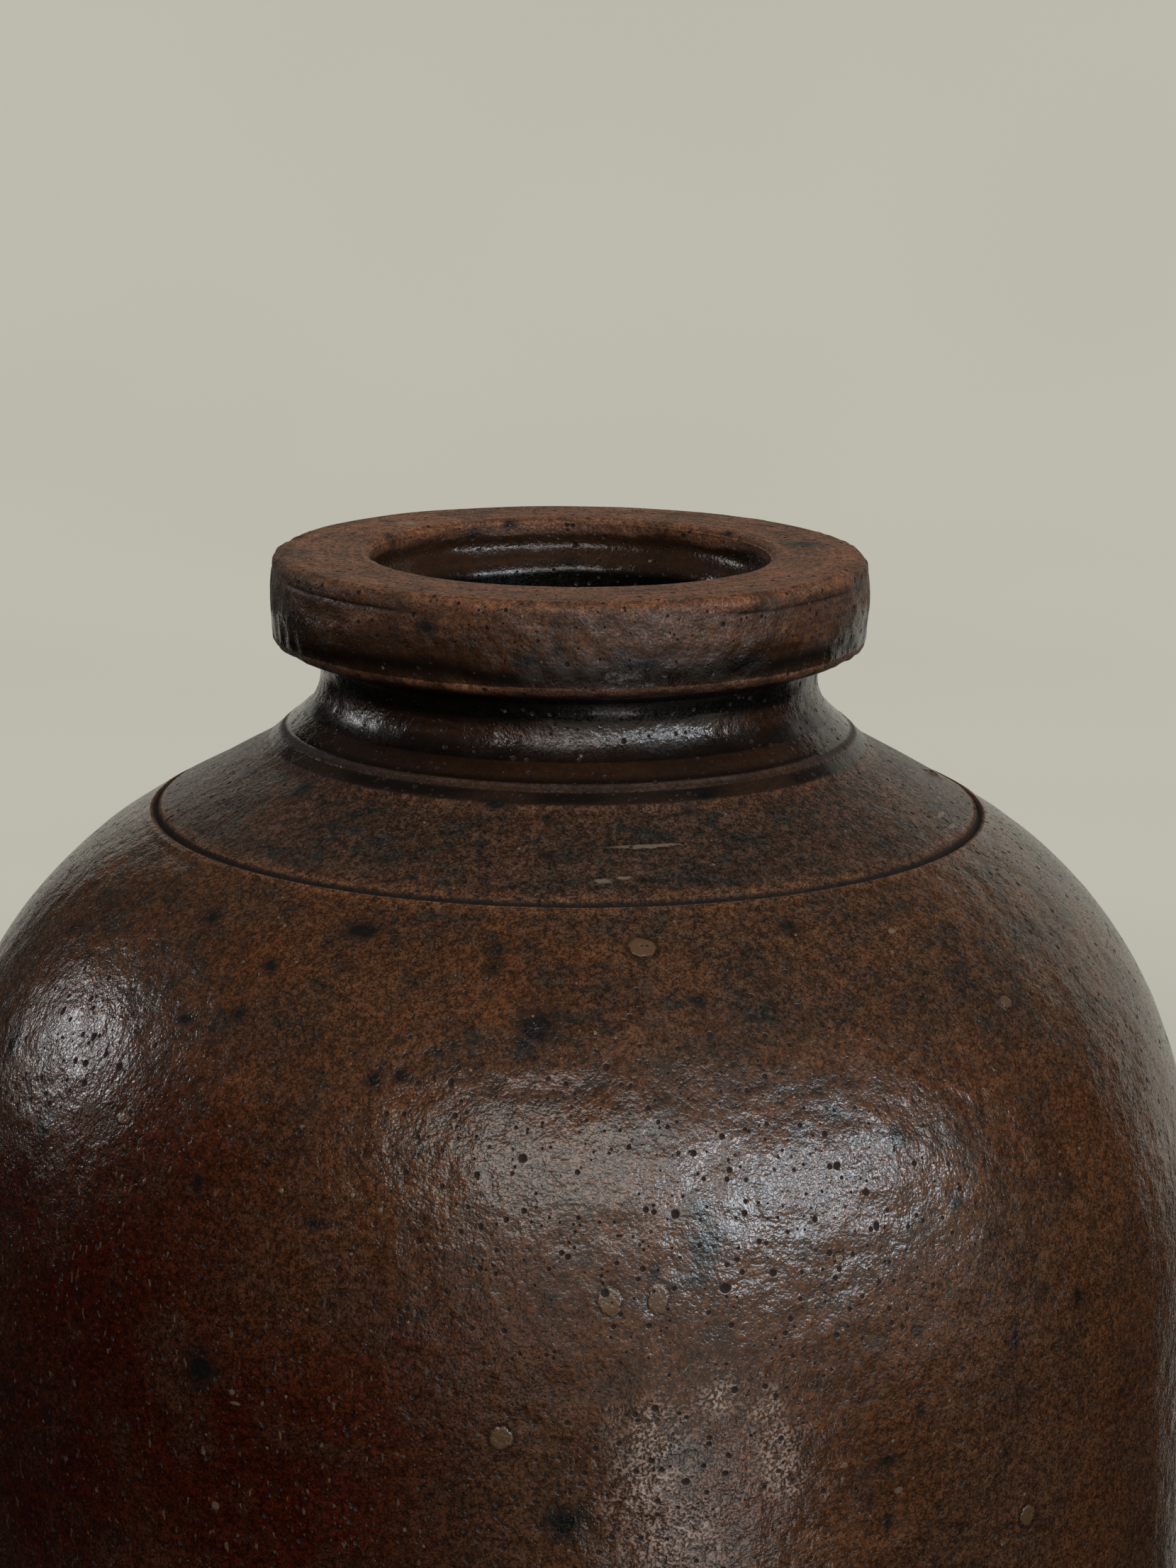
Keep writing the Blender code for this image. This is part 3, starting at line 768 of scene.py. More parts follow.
def add_bands(skin):
    """Bands that follow the turned edges: painted shade in the incised lines and in the crease above
    the ridge, a patchy dark band below the ridge, the flange's dark lower band, and rusty edges.
    """
    places = skin.places
    zone = skin.is_in
    uneven = noise(places, 0.012, 21)
    fine = noise(places, 0.0035, 22)
    from_line = np.abs(skin.radius - GROOVE_RADIUS)
    cone = zone("cone", "groove", "splay", "body") * (skin.height > CONE_FOOT_HEIGHT - NEAR_LINE)
    # Painted shade in the groove of the incised line
    line_painted_shade = cone * (1.0 - smooth(GROOVE_WIDTH * 0.22, GROOVE_WIDTH * 0.52, from_line))
    line_rust = cone * (1.0 - smooth(0.0011, 0.0030 + 0.001 * uneven, from_line))
    line_matt = cone * (1.0 - smooth(GROOVE_WIDTH * 0.5, GROOVE_WIDTH * 0.8, from_line))
    skin.raise_mask("shade_and_dark_glaze", 0.92 * line_painted_shade)
    skin.raise_mask("rust", line_rust * (0.55 + 0.35 * fine))
    from_ridge = skin.radius - RIDGE_RADIUS
    ridge = zone("groove", "splay") * (skin.height > RIDGE_FOOT[1] - NEAR_RIDGE)
    crest = ridge * bell(from_ridge, 0.0004) * smooth(-0.35, 0.5, fine + 0.4 * uneven)
    skin.raise_mask("rust", 0.45 * crest)
    near_neck = skin.height > RIDGE_FOOT[1] - 2.0 * NEAR_RIDGE
    stain = smooth(0.0006, 0.0011, from_ridge) * (1.0 - smooth(0.0022, 0.0034, from_ridge))
    stain *= zone("splay", "cone", "groove") * smooth(-0.5, 0.3, uneven)
    skin.raise_mask("shade_and_dark_glaze", 0.8 * stain * near_neck)
    second = bell(from_ridge - 0.0036, 0.0005) * near_neck * smooth(-0.2, 0.4, fine)
    skin.raise_mask("rust", 0.5 * second)
    # Painted shade in the crease where the ridge meets the splay above it
    skin.raise_mask("shade_and_dark_glaze", 0.8 * ridge * bell(from_ridge + 0.0011, 0.0005))
    flange = zone("band", "edge")
    over_foot = skin.height - RIM_UNDERSIDE
    arris = flange * bell(over_foot - 0.0008 - 0.0003 * uneven, 0.0006)
    skin.raise_mask("rust", arris * (0.75 + 0.35 * fine + 0.2 * uneven))
    lower = 1.0 - smooth(0.0, 0.0028, np.abs(over_foot - 0.0044 + 0.0010 * uneven))
    skin.raise_mask("shade_and_dark_glaze", 0.85 * flange * lower)
    # Painted shade in the flange's incised line
    cut = flange * bell(skin.height - (JUG_HEIGHT - FLANGE_LINE_DROP), 0.00035)
    skin.raise_mask("shade_and_dark_glaze", 0.75 * cut * smooth(-0.3, 0.3, noise(places, 0.05, 12)))
    matt = line_matt + 0.6 * ridge * bell(from_ridge, 0.0008) + 0.5 * arris
    skin.masks["matt"] = np.clip(matt, 0.0, 1.0)


# The map for baking: its margin, where the hidden side's strips start and end, and the caps
BAKE_MARGIN = 0.004
BAKE_SPLIT = 0.80
BAKE_END = 0.96
CAP_RADIUS = 0.014
CAP_CENTRES = ((0.05, 0.98), (0.10, 0.98))


def bake_map(mesh, skin, faces_across, capped):
    """The map for baking: the outside in two half turns, the hidden side in two thin strips."""
    columns = skin.columns
    hidden = [ZONE_NAMES.index(zone) for zone in ("inside", "seat", "under")]
    outer = ~np.isin(skin.zone[::columns], hidden)
    run = np.roll(skin.row_radius, -1) - skin.row_radius
    rise = np.roll(skin.row_height, -1) - skin.row_height
    step = np.hypot(run, rise)
    corners = np.zeros((faces_across, columns, 4, 2))
    half = columns // 2
    column = np.arange(columns)
    share = (column % half) / half
    left = BAKE_MARGIN + share * (1.0 - 2 * BAKE_MARGIN)
    right = BAKE_MARGIN + (share + 1.0 / half) * (1.0 - 2 * BAKE_MARGIN)
    strip = (column >= half).astype(float)
    for is_outer, low, high in ((True, 0.0, BAKE_SPLIT), (False, BAKE_SPLIT, BAKE_END)):
        rows = np.flatnonzero(outer[:faces_across] == is_outer)
        if not len(rows):
            continue
        lengths = step[rows]
        ends = np.cumsum(lengths) / lengths.sum()
        starts = ends - lengths / lengths.sum()
        tall = (high - low) / 2 - 2 * BAKE_MARGIN
        base = low + BAKE_MARGIN + strip * (high - low) / 2
        for row, start, end in zip(rows, starts, ends):
            sides = ((left, start), (left, end), (right, end), (right, start))
            for corner, (across, share) in enumerate(sides):
                corners[row, :, corner] = np.column_stack([across, base + share * tall])
    flat = corners.reshape(-1, 2)
    if capped:
        turn = np.arange(columns + 1) * (math.tau / columns)
        circle = CAP_RADIUS * np.column_stack([np.cos(turn), np.sin(turn)])
        for centre in CAP_CENTRES:
            middle = np.tile(centre, (columns, 1))
            fan = np.stack([middle, middle + circle[:-1], middle + circle[1:]], axis=1)
            flat = np.vstack([flat, fan.reshape(-1, 2)])
    layer = mesh.uv_layers.new(name="OFBake")
    layer.data.foreach_set("uv", flat.astype(np.float32).ravel())


def make_mesh(name, skin, capped):
    """The closed mesh of a worked skin."""
    points = skin.places + skin.facing * skin.relief[:, None]
    count, columns = skin.count, skin.columns
    ring = np.arange(count * columns).reshape(count, columns)
    following = np.roll(ring, -1, axis=1)
    below = ring[1:] if capped else np.roll(ring, -1, axis=0)
    upper = ring[:-1] if capped else ring
    after = following[1:] if capped else np.roll(following, -1, axis=0)
    beside = following[:-1] if capped else following
    quads = np.stack([upper, below, after, beside], axis=-1).reshape(-1, 4).tolist()
    points = points.tolist()
    if capped:
        top, bottom = len(points), len(points) + 1
        points += [(0.0, 0.0, float(skin.height[0])), (0.0, 0.0, float(skin.height[-1]))]
        quads += [(top, int(a), int(b)) for a, b in zip(ring[0], following[0])]
        quads += [(bottom, int(b), int(a)) for a, b in zip(ring[-1], following[-1])]
    mesh = bpy.data.meshes.new(name)
    mesh.from_pydata(points, [], quads)
    for mask, values in skin.masks.items():
        values = np.clip(np.append(values, [0.0] * (len(points) - len(values))), 0.0, 1.0)
        layer = mesh.attributes.new(mask, "FLOAT", "POINT")
        layer.data.foreach_set("value", values.astype(np.float32))
    bake_map(mesh, skin, len(upper), capped)
    mesh.shade_smooth()
    mesh.set_sharp_from_angle(angle=SHARP_ANGLE)
    return mesh


class Finish:
    """A Principled material whose colour, roughness and bump are built from nodes."""

    def __init__(self, name):
        self.material = bpy.data.materials.new(name)
        self.material.use_nodes = True
        self.nodes = self.material.node_tree.nodes
        self.links = self.material.node_tree.links
        self.shader = self.nodes["Principled BSDF"]
        self.place = self.node("TexCoord").outputs["Object"]

    def join(self, value, socket):
        """Links a socket, or sets a number or colour."""
        if isinstance(value, bpy.types.NodeSocket):
            self.links.new(value, socket)
        elif isinstance(value, tuple) and len(value) == 3 and len(socket.default_value) == 4:
            socket.default_value = (*value, 1.0)
        else:
            socket.default_value = value

    def fill(self, node, inputs):
        """Links or sets a node's inputs, given by name or number."""
        for name, value in inputs.items():
            self.join(value, node.inputs[name])
        return node

    def node(self, kind, inputs=(), **settings):
        """A new node with these settings and inputs."""
        node = self.nodes.new("ShaderNode" + kind)
        for setting, value in settings.items():
            setattr(node, setting, value)
        return self.fill(node, dict(inputs))

    def vector(self, operation, *values):
        """A vector made by an operation, or a number if it measures a length."""
        node = self.node("VectorMath", enumerate(values), operation=operation)
        return node.outputs["Value" if operation == "LENGTH" else "Vector"]

    def noise(self, size, detail=2.0, roughness=0.5, stretch=None, twist=0.0, colour=False):
        """Noise from 0 to 1 with features of about size. Stretch squeezes it along an axis."""
        place = self.vector("MULTIPLY", self.place, stretch) if stretch else self.place
        inputs = {"Vector": place, "Scale": 1.0 / size, "Detail": detail}
        inputs |= {"Roughness": roughness, "Distortion": twist}
        return self.node("TexNoise", inputs).outputs["Color" if colour else "Fac"]

    def turned(self, width, length):
        """Noise in fine lines that run round the axis, width wide and about length long."""
        split = self.node("SeparateXYZ", {0: self.place})
        out = self.vector("LENGTH", self.vector("MULTIPLY", self.place, (1.0, 1.0, 0.0)))
        line = self.maths("ADD", out, split.outputs["Z"])
        stretched = {
            0: self.maths("DIVIDE", line, width),
            1: self.maths("DIVIDE", split.outputs["X"], length),
            2: self.maths("DIVIDE", split.outputs["Y"], length),
        }
        inputs = {"Vector": self.node("CombineXYZ", stretched).outputs[0], "Scale": 1.0}
        return self.node("TexNoise", inputs).outputs["Fac"]

    def mask(self, name):
        """A mask that the mesh carries."""
        return self.node("Attribute", attribute_name=name).outputs["Fac"]

    def between(self, value, low, high, out_low=0.0, out_high=1.0):
        """The value's place between low and high, clamped, as a number from out_low to out_high."""
        inputs = {"Value": value, "From Min": low, "From Max": high}
        inputs |= {"To Min": out_low, "To Max": out_high}
        return self.node("MapRange", inputs, interpolation_type="SMOOTHSTEP").outputs["Result"]

    def maths(self, operation, total, *others):
        """Numbers joined by an operation, one after another."""
        for value in others:
            total = self.node("Math", {0: total, 1: value}, operation=operation).outputs["Value"]
        return total

    def times(self, *values):
        """The product of some numbers."""
        return self.maths("MULTIPLY", *values)

    def most(self, *values):
        """The greatest of some numbers."""
        return self.maths("MAXIMUM", *values)

    def least(self, *values):
        """The smallest of some numbers."""
        return self.maths("MINIMUM", *values)

    def mix(self, share, first, second, blend="MIX"):
        """Two colours mixed by a share."""
        node = self.node("Mix", data_type="RGBA", blend_type=blend)
        sockets = [socket for socket in node.inputs if socket.type == "RGBA"]
        self.join(share, node.inputs["Factor"])
        self.join(first, sockets[0])
        self.join(second, sockets[1])
        return next(socket for socket in node.outputs if socket.type == "RGBA")

    def shaded(self, colour, shade):
        """A colour made lighter or darker by a number."""
        tone = self.node("CombineColor", {0: shade, 1: shade, 2: shade})
        return self.mix(1.0, colour, tone.outputs[0], "MULTIPLY")

    def pits(self, size, share, small, large, seed):
        """The distance to the nearest small pit, 0 in its middle and 1 at its edge.

        The cells are about size wide and a share of them has a pit. Small and large are the
        smallest and largest radius, as a part of a cell.
        """
        place = self.vector("ADD", self.place, (seed, seed * 1.7, seed * 0.3))
        cell = self.node("TexVoronoi", {"Vector": place, "Scale": 1.0 / size}, feature="F1")
        split = self.node("SeparateColor", {0: cell.outputs["Color"]})
        radius = self.between(split.outputs["Green"], 0.0, 1.0, small, large)
        distance = self.maths("DIVIDE", cell.outputs["Distance"], radius)
        missing = self.maths("GREATER_THAN", split.outputs["Red"], share)
        return self.maths("ADD", distance, self.times(missing, 9.0))

    def nearest(self, marks, uneven):
        """The distance to the nearest of some oval marks, 0 in its middle and 1 at its edge."""
        wander = self.vector("SUBTRACT", self.noise(0.0016, 2.0, 0.6, colour=True), (0.5, 0.5, 0.5))
        place = self.vector("MULTIPLY_ADD", wander, (uneven, uneven, uneven), self.place)
        shares = []
        for centre, radii in marks:
            scale = 1.0 / radii
            offset = self.vector("MULTIPLY_ADD", place, tuple(scale), tuple(-centre * scale))
            shares.append(self.vector("LENGTH", offset))
        return self.least(*shares)

    def bump(self, height, distance, under=None):
        """A bump of the given depth over another."""
        inputs = {"Strength": 1.0, "Distance": distance, "Height": height}
        if under is not None:
            inputs["Normal"] = under
        return self.node("Bump", inputs).outputs["Normal"]


# Colours of the fired clay and glaze, and of the painted shade and the painted highlight
RED_BROWN = (0.064, 0.0235, 0.0090)
WARM_BROWN = (0.057, 0.0260, 0.0130)
UMBER = (0.034, 0.017, 0.010)
DEEP_RED = (0.031, 0.0034, 0.0008)
DEEP_BROWN = (0.013, 0.007, 0.004)
GUNMETAL = (0.014, 0.015, 0.013)
IRON_BLACK = (0.0040, 0.0046, 0.0046)
OCHRE = (0.085, 0.048, 0.024)
RUST = (0.105, 0.042, 0.017)
# Near-black of the painted shade in the hollows, under the flange and deep in the throat, and of the
# dark glaze bands
SHADE_AND_GLAZE_BLACK = (0.0018, 0.0017, 0.0016)
PALE_SPECK_AND_GLINT = (0.150, 0.115, 0.080)
# Colour of the pale crust, partly a painted highlight
CRUST_AND_HIGHLIGHT = (0.300, 0.225, 0.185)
PIT_DARK = (0.008, 0.003, 0.002)

# Depths of the bumps in the glaze, from the broad lumps to the finest grain
LUMP_BUMP = 0.00056
MOTTLE_BUMP = 0.00008
GRIT_BUMP = 0.00008
CELL_BUMP = 0.000012
GRAIN_BUMP = 0.00004
TURNED_BUMP = 0.00008
DISC_BUMP = 0.00010
DISC_RIM_BUMP = -0.00008
PIT_BUMP = 0.00036


def glaze(
    name, base, rough, level, lines, peel=1.0, spread=1.0, spots=(), pits=(), discs=(), flecks=()
):
    """Brown salt glaze over its clay.

    Base is the pair of main colours. Rough is the roughness where the glaze is thin and where it
    is thick, level the strength of its gloss, lines how strong the turning lines are, peel how
    deep the orange peel is, and spread how uneven the colour is. The rest are single marks.
    """
    finish = Finish(name)
    mask, noise_of, between = finish.mask, finish.noise, finish.between
    mix, times, most, least = finish.mix, finish.times, finish.most, finish.least
    broad = noise_of(0.045)
    patchy = noise_of(0.013, 3.0, 0.6)
    stains = noise_of(0.0050, 6.0, 0.78, stretch=(1.0, 1.0, 1.6), twist=0.3)
    mottle = noise_of(0.0024, 2.0, 0.6)
    grit = noise_of(0.0012, 2.0, 0.6)
    grain = noise_of(0.00060, 1.0)
    worms = finish.maths("SUBTRACT", noise_of(0.00085, 1.0), 0.5)
    cell = between(finish.maths("ABSOLUTE", worms, 0.0), 0.01, 0.09)
    turned = finish.turned(0.0011, 0.022)

    # The clay's colour, its red, dusky and rusty areas, and the fine unevenness over them, which is
    # partly painted shade of the glaze's fine relief, darkest in the orange peel's creases
    colour = mix(between(broad, 0.35, 0.65), *base)
    colour = mix(times(mask("red"), 0.94), colour, DEEP_RED)
    colour = mix(between(patchy, 0.46, 0.68, 0.0, 0.55), colour, UMBER)
    clusters = times(mask("dusk"), between(patchy, 0.36, 0.56))
    stained = most(times(between(stains, 0.50, 0.55), clusters), times(clusters, 0.22))
    colour = mix(stained, colour, GUNMETAL)
    torn = between(stains, 0.36, 0.56, 0.35, 1.0)
    colour = mix(times(mask("rust"), torn), colour, RUST)
    # Painted shade: the cell term darkens the orange peel's fine creases and lightens the cells'
    # tops
    shade = times(
        between(cell, 0.0, 1.0, 1.0 - 0.62 * spread, 1.0 + 0.26 * spread),
        between(mottle, 0.36, 0.64, 1.0 - 0.17 * spread, 1.0 + 0.13 * spread),
        between(grit, 0.38, 0.60, 1.0 - 0.28 * spread, 1.0 + 0.17 * spread),
        between(turned, 0.34, 0.66, 1.0 - lines, 1.0 + 0.6 * lines),
    )
    colour = finish.shaded(colour, shade)
    # Painted highlight, partly: a pale speckled crust where the glaze shows a low sheen
    crust_and_highlight = times(
        between(grain, 0.44, 0.60),
        between(grit, 0.40, 0.58, 0.25, 1.0),
        between(mottle, 0.36, 0.56, 0.30, 1.0),
        mask("crust_and_highlight"),
    )
    colour = mix(crust_and_highlight, colour, CRUST_AND_HIGHLIGHT)
    colour = mix(mask("deep"), colour, DEEP_BROWN)

    # Single marks: pale discs, iron spots, pale flecks that are partly painted glints, and pits with
    # a dark bottom
    dull = times(stained, 0.35)
    dips = []
    if discs:
        disc = finish.nearest(discs, 0.0010)
        colour = mix(between(disc, 0.85, 1.05, 0.75, 0.0), colour, OCHRE)
        rim = times(between(disc, 0.80, 0.98), between(disc, 1.0, 1.45, 1.0, 0.0))
        rim = times(rim, between(mottle, 0.34, 0.50))
        colour = mix(times(rim, 0.80), colour, PIT_DARK)
        dips = [(between(disc, 0.70, 1.0, 1.0, 0.0), DISC_BUMP), (rim, DISC_RIM_BUMP)]
        dull = most(dull, rim)
    strewn = finish.pits(0.013, 0.50, 0.07, 0.14, 5.1)
    spot = finish.maths("ADD", strewn, between(noise_of(0.0100, 4.0, 0.6), 0.35, 0.65, 0.0, 0.6))
    if spots:
        spot = least(finish.nearest(spots, 0.0011), spot)
    iron = most(between(spot, 0.9, 2.5, 0.62, 0.0), between(spot, 0.75, 1.15, 0.96, 0.0))
    iron = times(iron, between(stains, 0.36, 0.50, 0.75, 1.0))
    colour = mix(iron, colour, IRON_BLACK)
    # Painted shade: near-black in the incised lines, under the flange and deep in the throat; the
    # same mask holds the flange's dark lower band and the dark glaze low in the cove
    colour = mix(times(mask("shade_and_dark_glaze"), between(mottle, 0.30, 0.50, 0.75, 1.0)), colour, SHADE_AND_GLAZE_BLACK)
    # Painted glints, partly: the pale flecks and the commas in the red areas stand for light caught
    # on tiny raised dots as well as the glaze's own pale specks
    fleck = finish.pits(0.0036, 0.45, 0.05, 0.11, 7.3)
    if flecks:
        fleck = least(finish.nearest(flecks, 0.0005), fleck)
    glinting_commas = between(noise_of(0.0011, 1.0, stretch=(1.0, 1.0, 0.5)), 0.68, 0.75, 0.0, 0.5)
    pale = most(between(fleck, 0.6, 1.1, 0.62, 0.0), times(mask("red"), glinting_commas))
    colour = mix(pale, colour, PALE_SPECK_AND_GLINT)
    pit = least(
        finish.pits(0.0027, 0.90, 0.09, 0.19, 0.0), finish.pits(0.0017, 0.70, 0.09, 0.16, 3.1)
    )
    if pits:
        pit = least(finish.nearest(pits, 0.0004), pit)
    hole = between(pit, 0.85, 1.30, 1.0, 0.0)
    colour = mix(times(hole, 0.94), colour, PIT_DARK)

    # Roughness, from dry to wet glaze
    broken = between(noise_of(0.0080, 3.0, 0.62), 0.40, 0.58, 0.35, 1.0)
    dull = most(dull, times(iron, 0.8))
    wetness = finish.maths("SUBTRACT", times(mask("gloss"), broken), dull)
    wetness = most(wetness, between(mask("deep"), 0.60, 0.90, 0.0, 0.9))
    thin = between(wetness, 0.0, 1.0, *rough)
    roughness = finish.maths("ADD", thin, between(cell, 0.0, 1.0, 0.14, 0.0))
    roughness = most(roughness, mask("matt"), times(hole, 0.95))

    # Relief, shallower where the glaze is thick
    calm = times(
        between(wetness, 0.55, 0.95, 1.0, 0.65), between(mask("shade_and_dark_glaze"), 0.2, 0.9, 1.0, 0.25)
    )
    under = None
    layers = (
        (noise_of(0.0060), LUMP_BUMP),
        (mottle, MOTTLE_BUMP),
        (grit, GRIT_BUMP),
        (cell, CELL_BUMP),
        (grain, GRAIN_BUMP),
    )
    for height, depth in layers:
        under = finish.bump(height, times(calm, depth * peel), under)
    relief = finish.maths("SUBTRACT", times(pale, 0.3), between(pit, 0.0, 1.35, 1.0, 0.0))
    for height, depth in ((turned, TURNED_BUMP * lines), *dips, (relief, PIT_BUMP)):
        under = finish.bump(height, depth, under)
    looks = {"Base Color": colour, "Roughness": roughness, "Normal": under}
    finish.fill(finish.shader, looks | {"Specular IOR Level": level})
    return finish.material


# The looks of each slot, as glaze takes them
GLAZES = {
    "bare_foot_clay": dict(
        base=((0.105, 0.052, 0.030), WARM_BROWN), rough=(0.85, 0.5), level=0.3, lines=0.3
    ),
    "brown_salt_glaze": dict(
        base=(RED_BROWN, WARM_BROWN), rough=(0.17, 0.09), level=0.5, lines=0.10,
        spots=ovals(IRON_SPOTS), pits=ovals(PITS), discs=ovals(DISCS), flecks=ovals(FLECKS),
    ),
    "dusky_shoulder_glaze": dict(
        base=((0.054, 0.0245, 0.013), (0.044, 0.0235, 0.0145)), rough=(0.32, 0.18), level=0.4,
        lines=0.14, spread=1.1, spots=ovals(SHOULDER_SPOTS), flecks=ovals(SHOULDER_FLECKS),
    ),
    "dark_neck_glaze": dict(
        base=((0.056, 0.020, 0.009), (0.038, 0.015, 0.007)), rough=(0.25, 0.09), level=0.45,
        lines=0.55, spread=0.9,
    ),
    "dry_rim_clay": dict(
        base=((0.123, 0.047, 0.0205), (0.101, 0.042, 0.0195)), rough=(0.52, 0.15), level=0.35,
        lines=0.28, peel=1.6, spread=0.8, spots=ovals(RIM_SPOTS), flecks=ovals(RIM_FLECKS),
    ),
}
MATERIALS = {slot: glaze(slot, **looks) for slot, looks in GLAZES.items()}

SECTIONS = (
    ("floor_slab", floor_slab_rows, BODY_COLUMNS, "bare_foot_clay"),
    ("lower_wall", lower_wall_rows, BODY_COLUMNS, "brown_salt_glaze"),
    ("upper_wall", upper_wall_rows, BODY_COLUMNS, "brown_salt_glaze"),
    ("shoulder", shoulder_rows, BODY_COLUMNS, "dusky_shoulder_glaze"),
    ("neck_collar", neck_collar_rows, NECK_COLUMNS, "dark_neck_glaze"),
    ("rim_ring", rim_ring_rows, NECK_COLUMNS, "dry_rim_clay"),
)


def linked(name, data):
    """A new object in the scene."""
    thing = bpy.data.objects.new(name, data)
    bpy.context.scene.collection.objects.link(thing)
    return thing


def build_sections():
    """Makes the six skins and puts each in its node's place."""
    for node, rows, columns, slot in SECTIONS:
        skin = Skin(rows(), columns)
        work_body(skin)
        work_rim(skin)
        add_wetness(skin)
        add_bands(skin)
        add_marks(skin)
        mesh = make_mesh(node + "_skin", skin, node == "floor_slab")
        mesh.materials.append(MATERIALS[slot])
        piece = linked(node + "_skin", mesh)
        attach(piece, "root")
        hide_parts(node)


build_sections()

# The studio: a pale floor that curves up into a pale wall all round
STAGE_RADIUS = 2.9
STAGE_CURVE = 0.8
STAGE_TOP = 1.7
CURVE_STEPS = 24
SHEET_STEP = 3.0
STAGE_COLOUR = (0.56, 0.54, 0.47)
BACKDROP_COLOUR = (0.515, 0.500, 0.430)
FLOOR_REACH = (0.30, 1.15)
CARD_COLOUR = (0.012, 0.011, 0.010)

# Black cards: the line of radius and height that each sweeps, and its first and last azimuth
CARDS = (
    ("stage_card_left", [(1.45, 0.0), (1.45, 1.1)], -92.0, -18.0),
    ("stage_card_under_window", [(1.45, 0.0), (1.45, 0.36)], -121.0, -92.0),
    ("stage_card_behind_left", [(1.45, 0.0), (1.45, 1.1)], -152.0, -122.0),
    ("stage_card_right", [(1.45, 0.0), (1.45, 1.0)], 78.0, 124.0),
    ("stage_card_low", [(0.16, 0.002), (0.6, 0.002), (1.45, 0.002)], -142.0, 132.0),
    ("stage_card_floor", [(0.125, 0.003), (0.6, 0.003), (1.6, 0.003)], 0.0, 360.0),
)


def away_from(azimuth, elevation=0.0):
    """The direction at an azimuth, from the camera's side towards +X, and an elevation."""
    turn, rise = math.radians(azimuth), math.radians(elevation)
    level = math.cos(rise)
    return Vector((math.sin(turn) * level, -math.cos(turn) * level, math.sin(rise)))


def turned_sheet(name, outline, start, end, material):
    """A sheet that an outline of radius and height sweeps from one azimuth to another."""
    steps = max(2, round(abs(end - start) / SHEET_STEP))
    points, faces = [], []
    for step in range(steps + 1):
        out = away_from(start + (end - start) * step / steps)
        points += [(out.x * radius, out.y * radius, height) for radius, height in outline]
    for step in range(steps):
        for row in range(len(outline) - 1):
            here = step * len(outline) + row
            there = here + len(outline)
            faces.append((here, here + 1, there + 1, there))
    mesh = bpy.data.meshes.new(name)
    mesh.from_pydata(points, [], faces)
    mesh.shade_smooth()
    mesh.materials.append(material)
    sheet = linked(name, mesh)
    return sheet


def plaster():
    """Pale matt plaster. Far from the jug it shows at its own colour, whatever light falls on it."""
    finish = Finish("stage_plaster")
    tint = finish.between(finish.noise(0.6), 0.3, 0.7)
    floor_colour = finish.mix(tint, STAGE_COLOUR, tuple(0.97 * part for part in STAGE_COLOUR))
    wall_colour = finish.mix(tint, BACKDROP_COLOUR, tuple(0.97 * part for part in BACKDROP_COLOUR))
    looks = {"Base Color": floor_colour, "Roughness": 0.95, "Specular IOR Level": 0.0}
    finish.fill(finish.shader, looks)
    far = finish.between(finish.vector("LENGTH", finish.place), *FLOOR_REACH)
    path = finish.node("LightPath").outputs
    seen = [path["Is Camera Ray"], path["Is Glossy Ray"], path["Is Transmission Ray"]]
    shine = finish.node("Emission", {"Color": wall_colour})
    shares = {
        0: finish.times(finish.maths("ADD", *seen), far),
        1: finish.shader.outputs[0],
        2: shine.outputs[0],
    }
    blend = finish.node("MixShader", shares)
    finish.fill(finish.nodes["Material Output"], {"Surface": blend.outputs[0]})
    return finish.material


def black_card():
    """Black felt for the studio's cards."""
    finish = Finish("stage_card")
    colour = finish.mix(finish.noise(0.05), CARD_COLOUR, tuple(1.6 * part for part in CARD_COLOUR))
    looks = {"Base Color": colour, "Roughness": 1.0, "Specular IOR Level": 0.0}
    finish.fill(finish.shader, looks)
    return finish.material


def build_stage():
    """The floor and wall, and the black cards that keep the room dark before the jug."""
    outline = [(0.0, 0.0), (0.5, 0.0), (1.2, 0.0)]
    for step in range(CURVE_STEPS + 1):
        angle = math.pi / 2 * step / CURVE_STEPS
        radius = STAGE_RADIUS - STAGE_CURVE * (1.0 - math.sin(angle))
        outline.append((radius, STAGE_CURVE * (1.0 - math.cos(angle))))
    outline.append((STAGE_RADIUS, STAGE_TOP))
    turned_sheet("stage_floor_and_wall", outline, 0.0, 360.0, plaster())
    felt = black_card()
    for name, line, start, end in CARDS:
        card = turned_sheet(name, line, start, end, felt)
        card.visible_camera = False
        card.visible_transmission = False
        card.visible_shadow = False
        card.visible_glossy = name != "stage_card_floor"
        card.visible_diffuse = name != "stage_card_low"


build_stage()

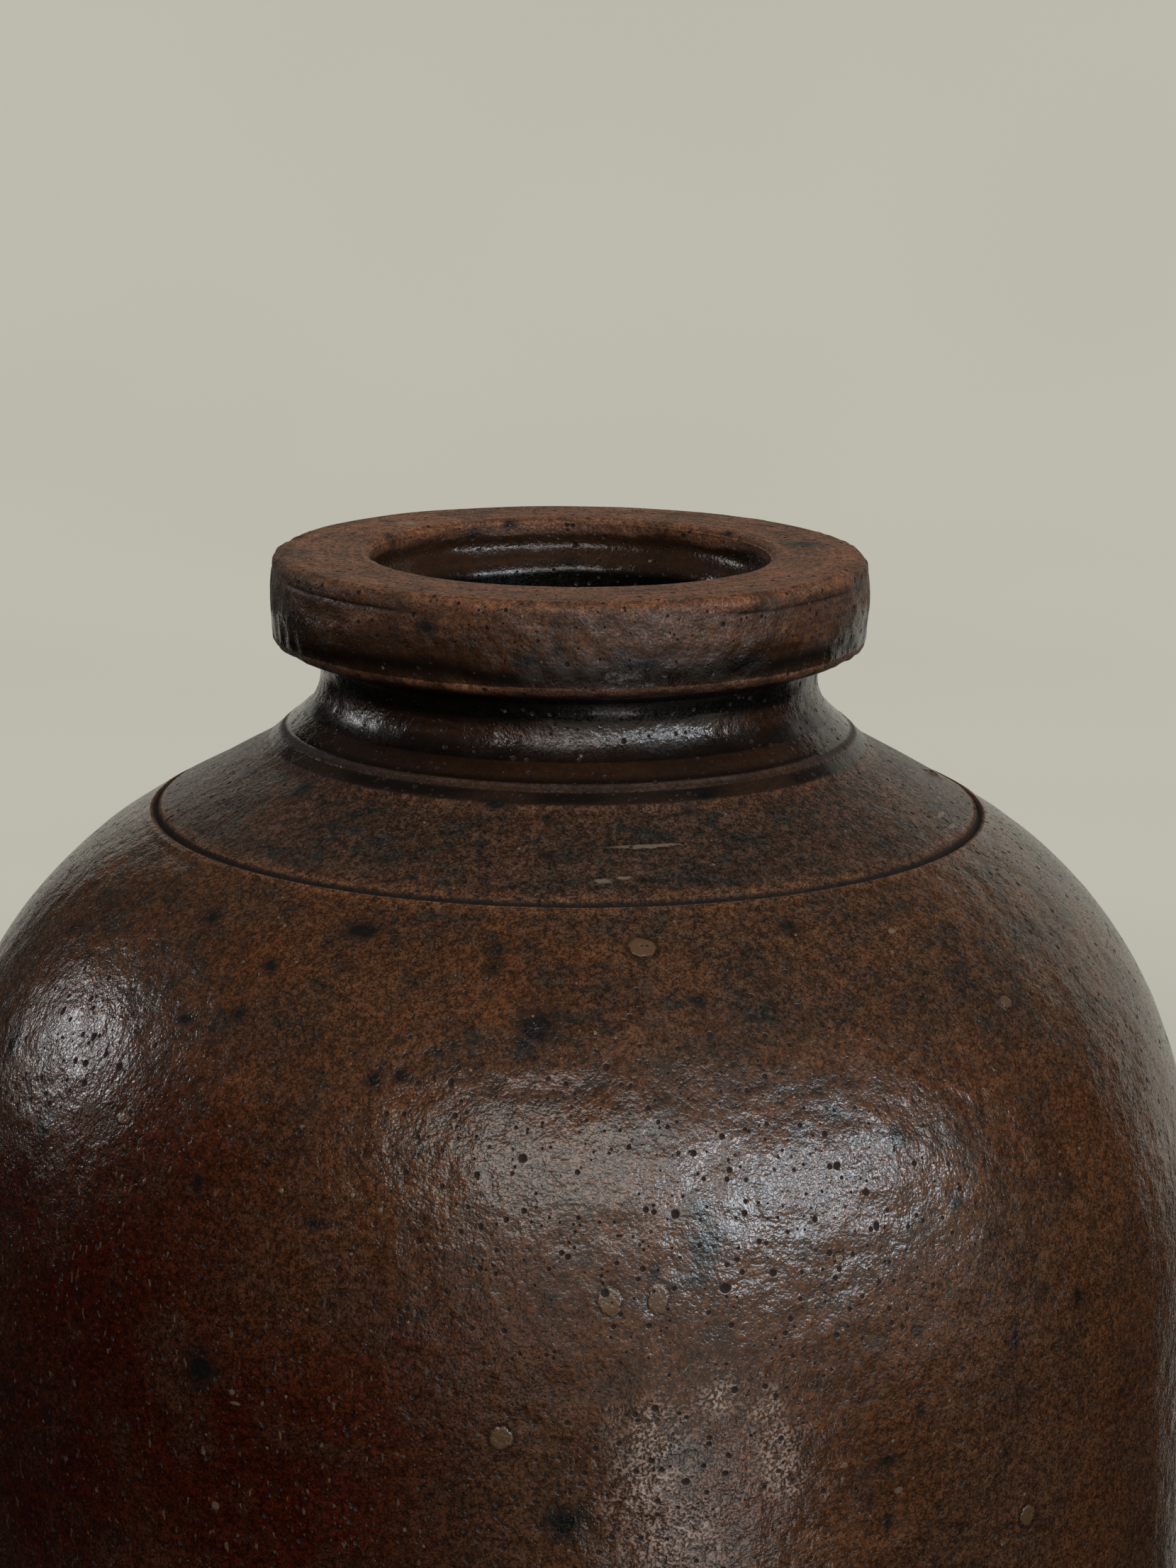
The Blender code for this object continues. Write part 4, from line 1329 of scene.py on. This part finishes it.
# Lamps: azimuth, elevation, distance and height of the aim, width, height, level and colour
AIM_HEIGHT = 0.25
LAMPS = {
    "window_right": (35.0, 21.0, 2.0, AIM_HEIGHT, 0.60, 0.50, 13.0, (0.80, 0.90, 1.0)),
    "window_side": (57.0, 20.0, 2.0, AIM_HEIGHT, 0.42, 0.44, 12.5, (0.82, 0.91, 1.0)),
    "window_front": (-2.0, 33.0, 2.1, AIM_HEIGHT, 1.60, 0.70, 4.3, (1.0, 0.95, 0.88)),
    "wall_right": (30.0, 30.0, 2.3, AIM_HEIGHT, 3.4, 1.45, 0.4, (1.0, 0.98, 0.95)),
    "window_left": (-110.0, 18.0, 2.0, AIM_HEIGHT, 0.36, 0.44, 8.0, (0.98, 0.97, 1.0)),
    "window_low": (22.0, 0.0, 0.46359, 0.065, 0.150, 0.130, 2.6, (1.0, 0.93, 0.88)),
    "panel_back": (180.0, 58.0, 2.2, AIM_HEIGHT, 1.6, 1.2, 2.4, (1.0, 0.98, 0.95)),
    "ceiling": (40.0, 64.0, 2.2, AIM_HEIGHT, 1.6, 1.2, 4.4, (1.0, 0.97, 0.93)),
}
ONLY_GLOSSY = ("window_side", "window_low")
NEVER_GLOSSY = ("panel_back", "ceiling")


def build_lights():
    """Windows to the right, the front and the left, their bright wall, and soft panels above.

    A lamp's level is how bright its face is.
    """
    for name, (azimuth, elevation, distance, aim, width, height, level, colour) in LAMPS.items():
        data = bpy.data.lights.new(name, "AREA")
        data.shape = "RECTANGLE"
        data.size = width
        data.size_y = height
        data.energy = level * math.pi * width * height
        data.color = colour
        lamp = linked(name, data)
        away = away_from(azimuth, elevation)
        lamp.location = Vector((0.0, 0.0, aim)) + away * distance
        lamp.rotation_euler = away.to_track_quat("Z", "Y").to_euler()
        lamp.visible_camera = False
        lamp.visible_diffuse = name not in ONLY_GLOSSY
        lamp.visible_glossy = name not in NEVER_GLOSSY


build_lights()

WORLD_COLOUR = (0.040, 0.040, 0.039, 1.0)


def build_world():
    """An even, soft room light."""
    world = bpy.data.worlds.new("studio")
    bpy.context.scene.world = world
    world.use_nodes = True
    background = world.node_tree.nodes["Background"]
    background.inputs["Color"].default_value = WORLD_COLOUR
    background.inputs["Strength"].default_value = 1.0


build_world()


def build_camera():
    """The camera of the photograph."""
    place, ahead, right, up = camera_axes()
    data = bpy.data.cameras.new("camera")
    data.sensor_fit = "VERTICAL"
    data.sensor_width = SENSOR
    data.sensor_height = SENSOR
    data.lens = FOCAL_PIXELS * SENSOR / PHOTO_HEIGHT
    data.clip_start = 0.02
    data.clip_end = 30.0
    camera = linked("camera", data)
    turn = Matrix((right, up, -ahead)).transposed()
    camera.matrix_world = Matrix.Translation(place) @ turn.to_4x4()
    bpy.context.scene.camera = camera


build_camera()
bpy.context.scene.view_settings.view_transform = "Standard"
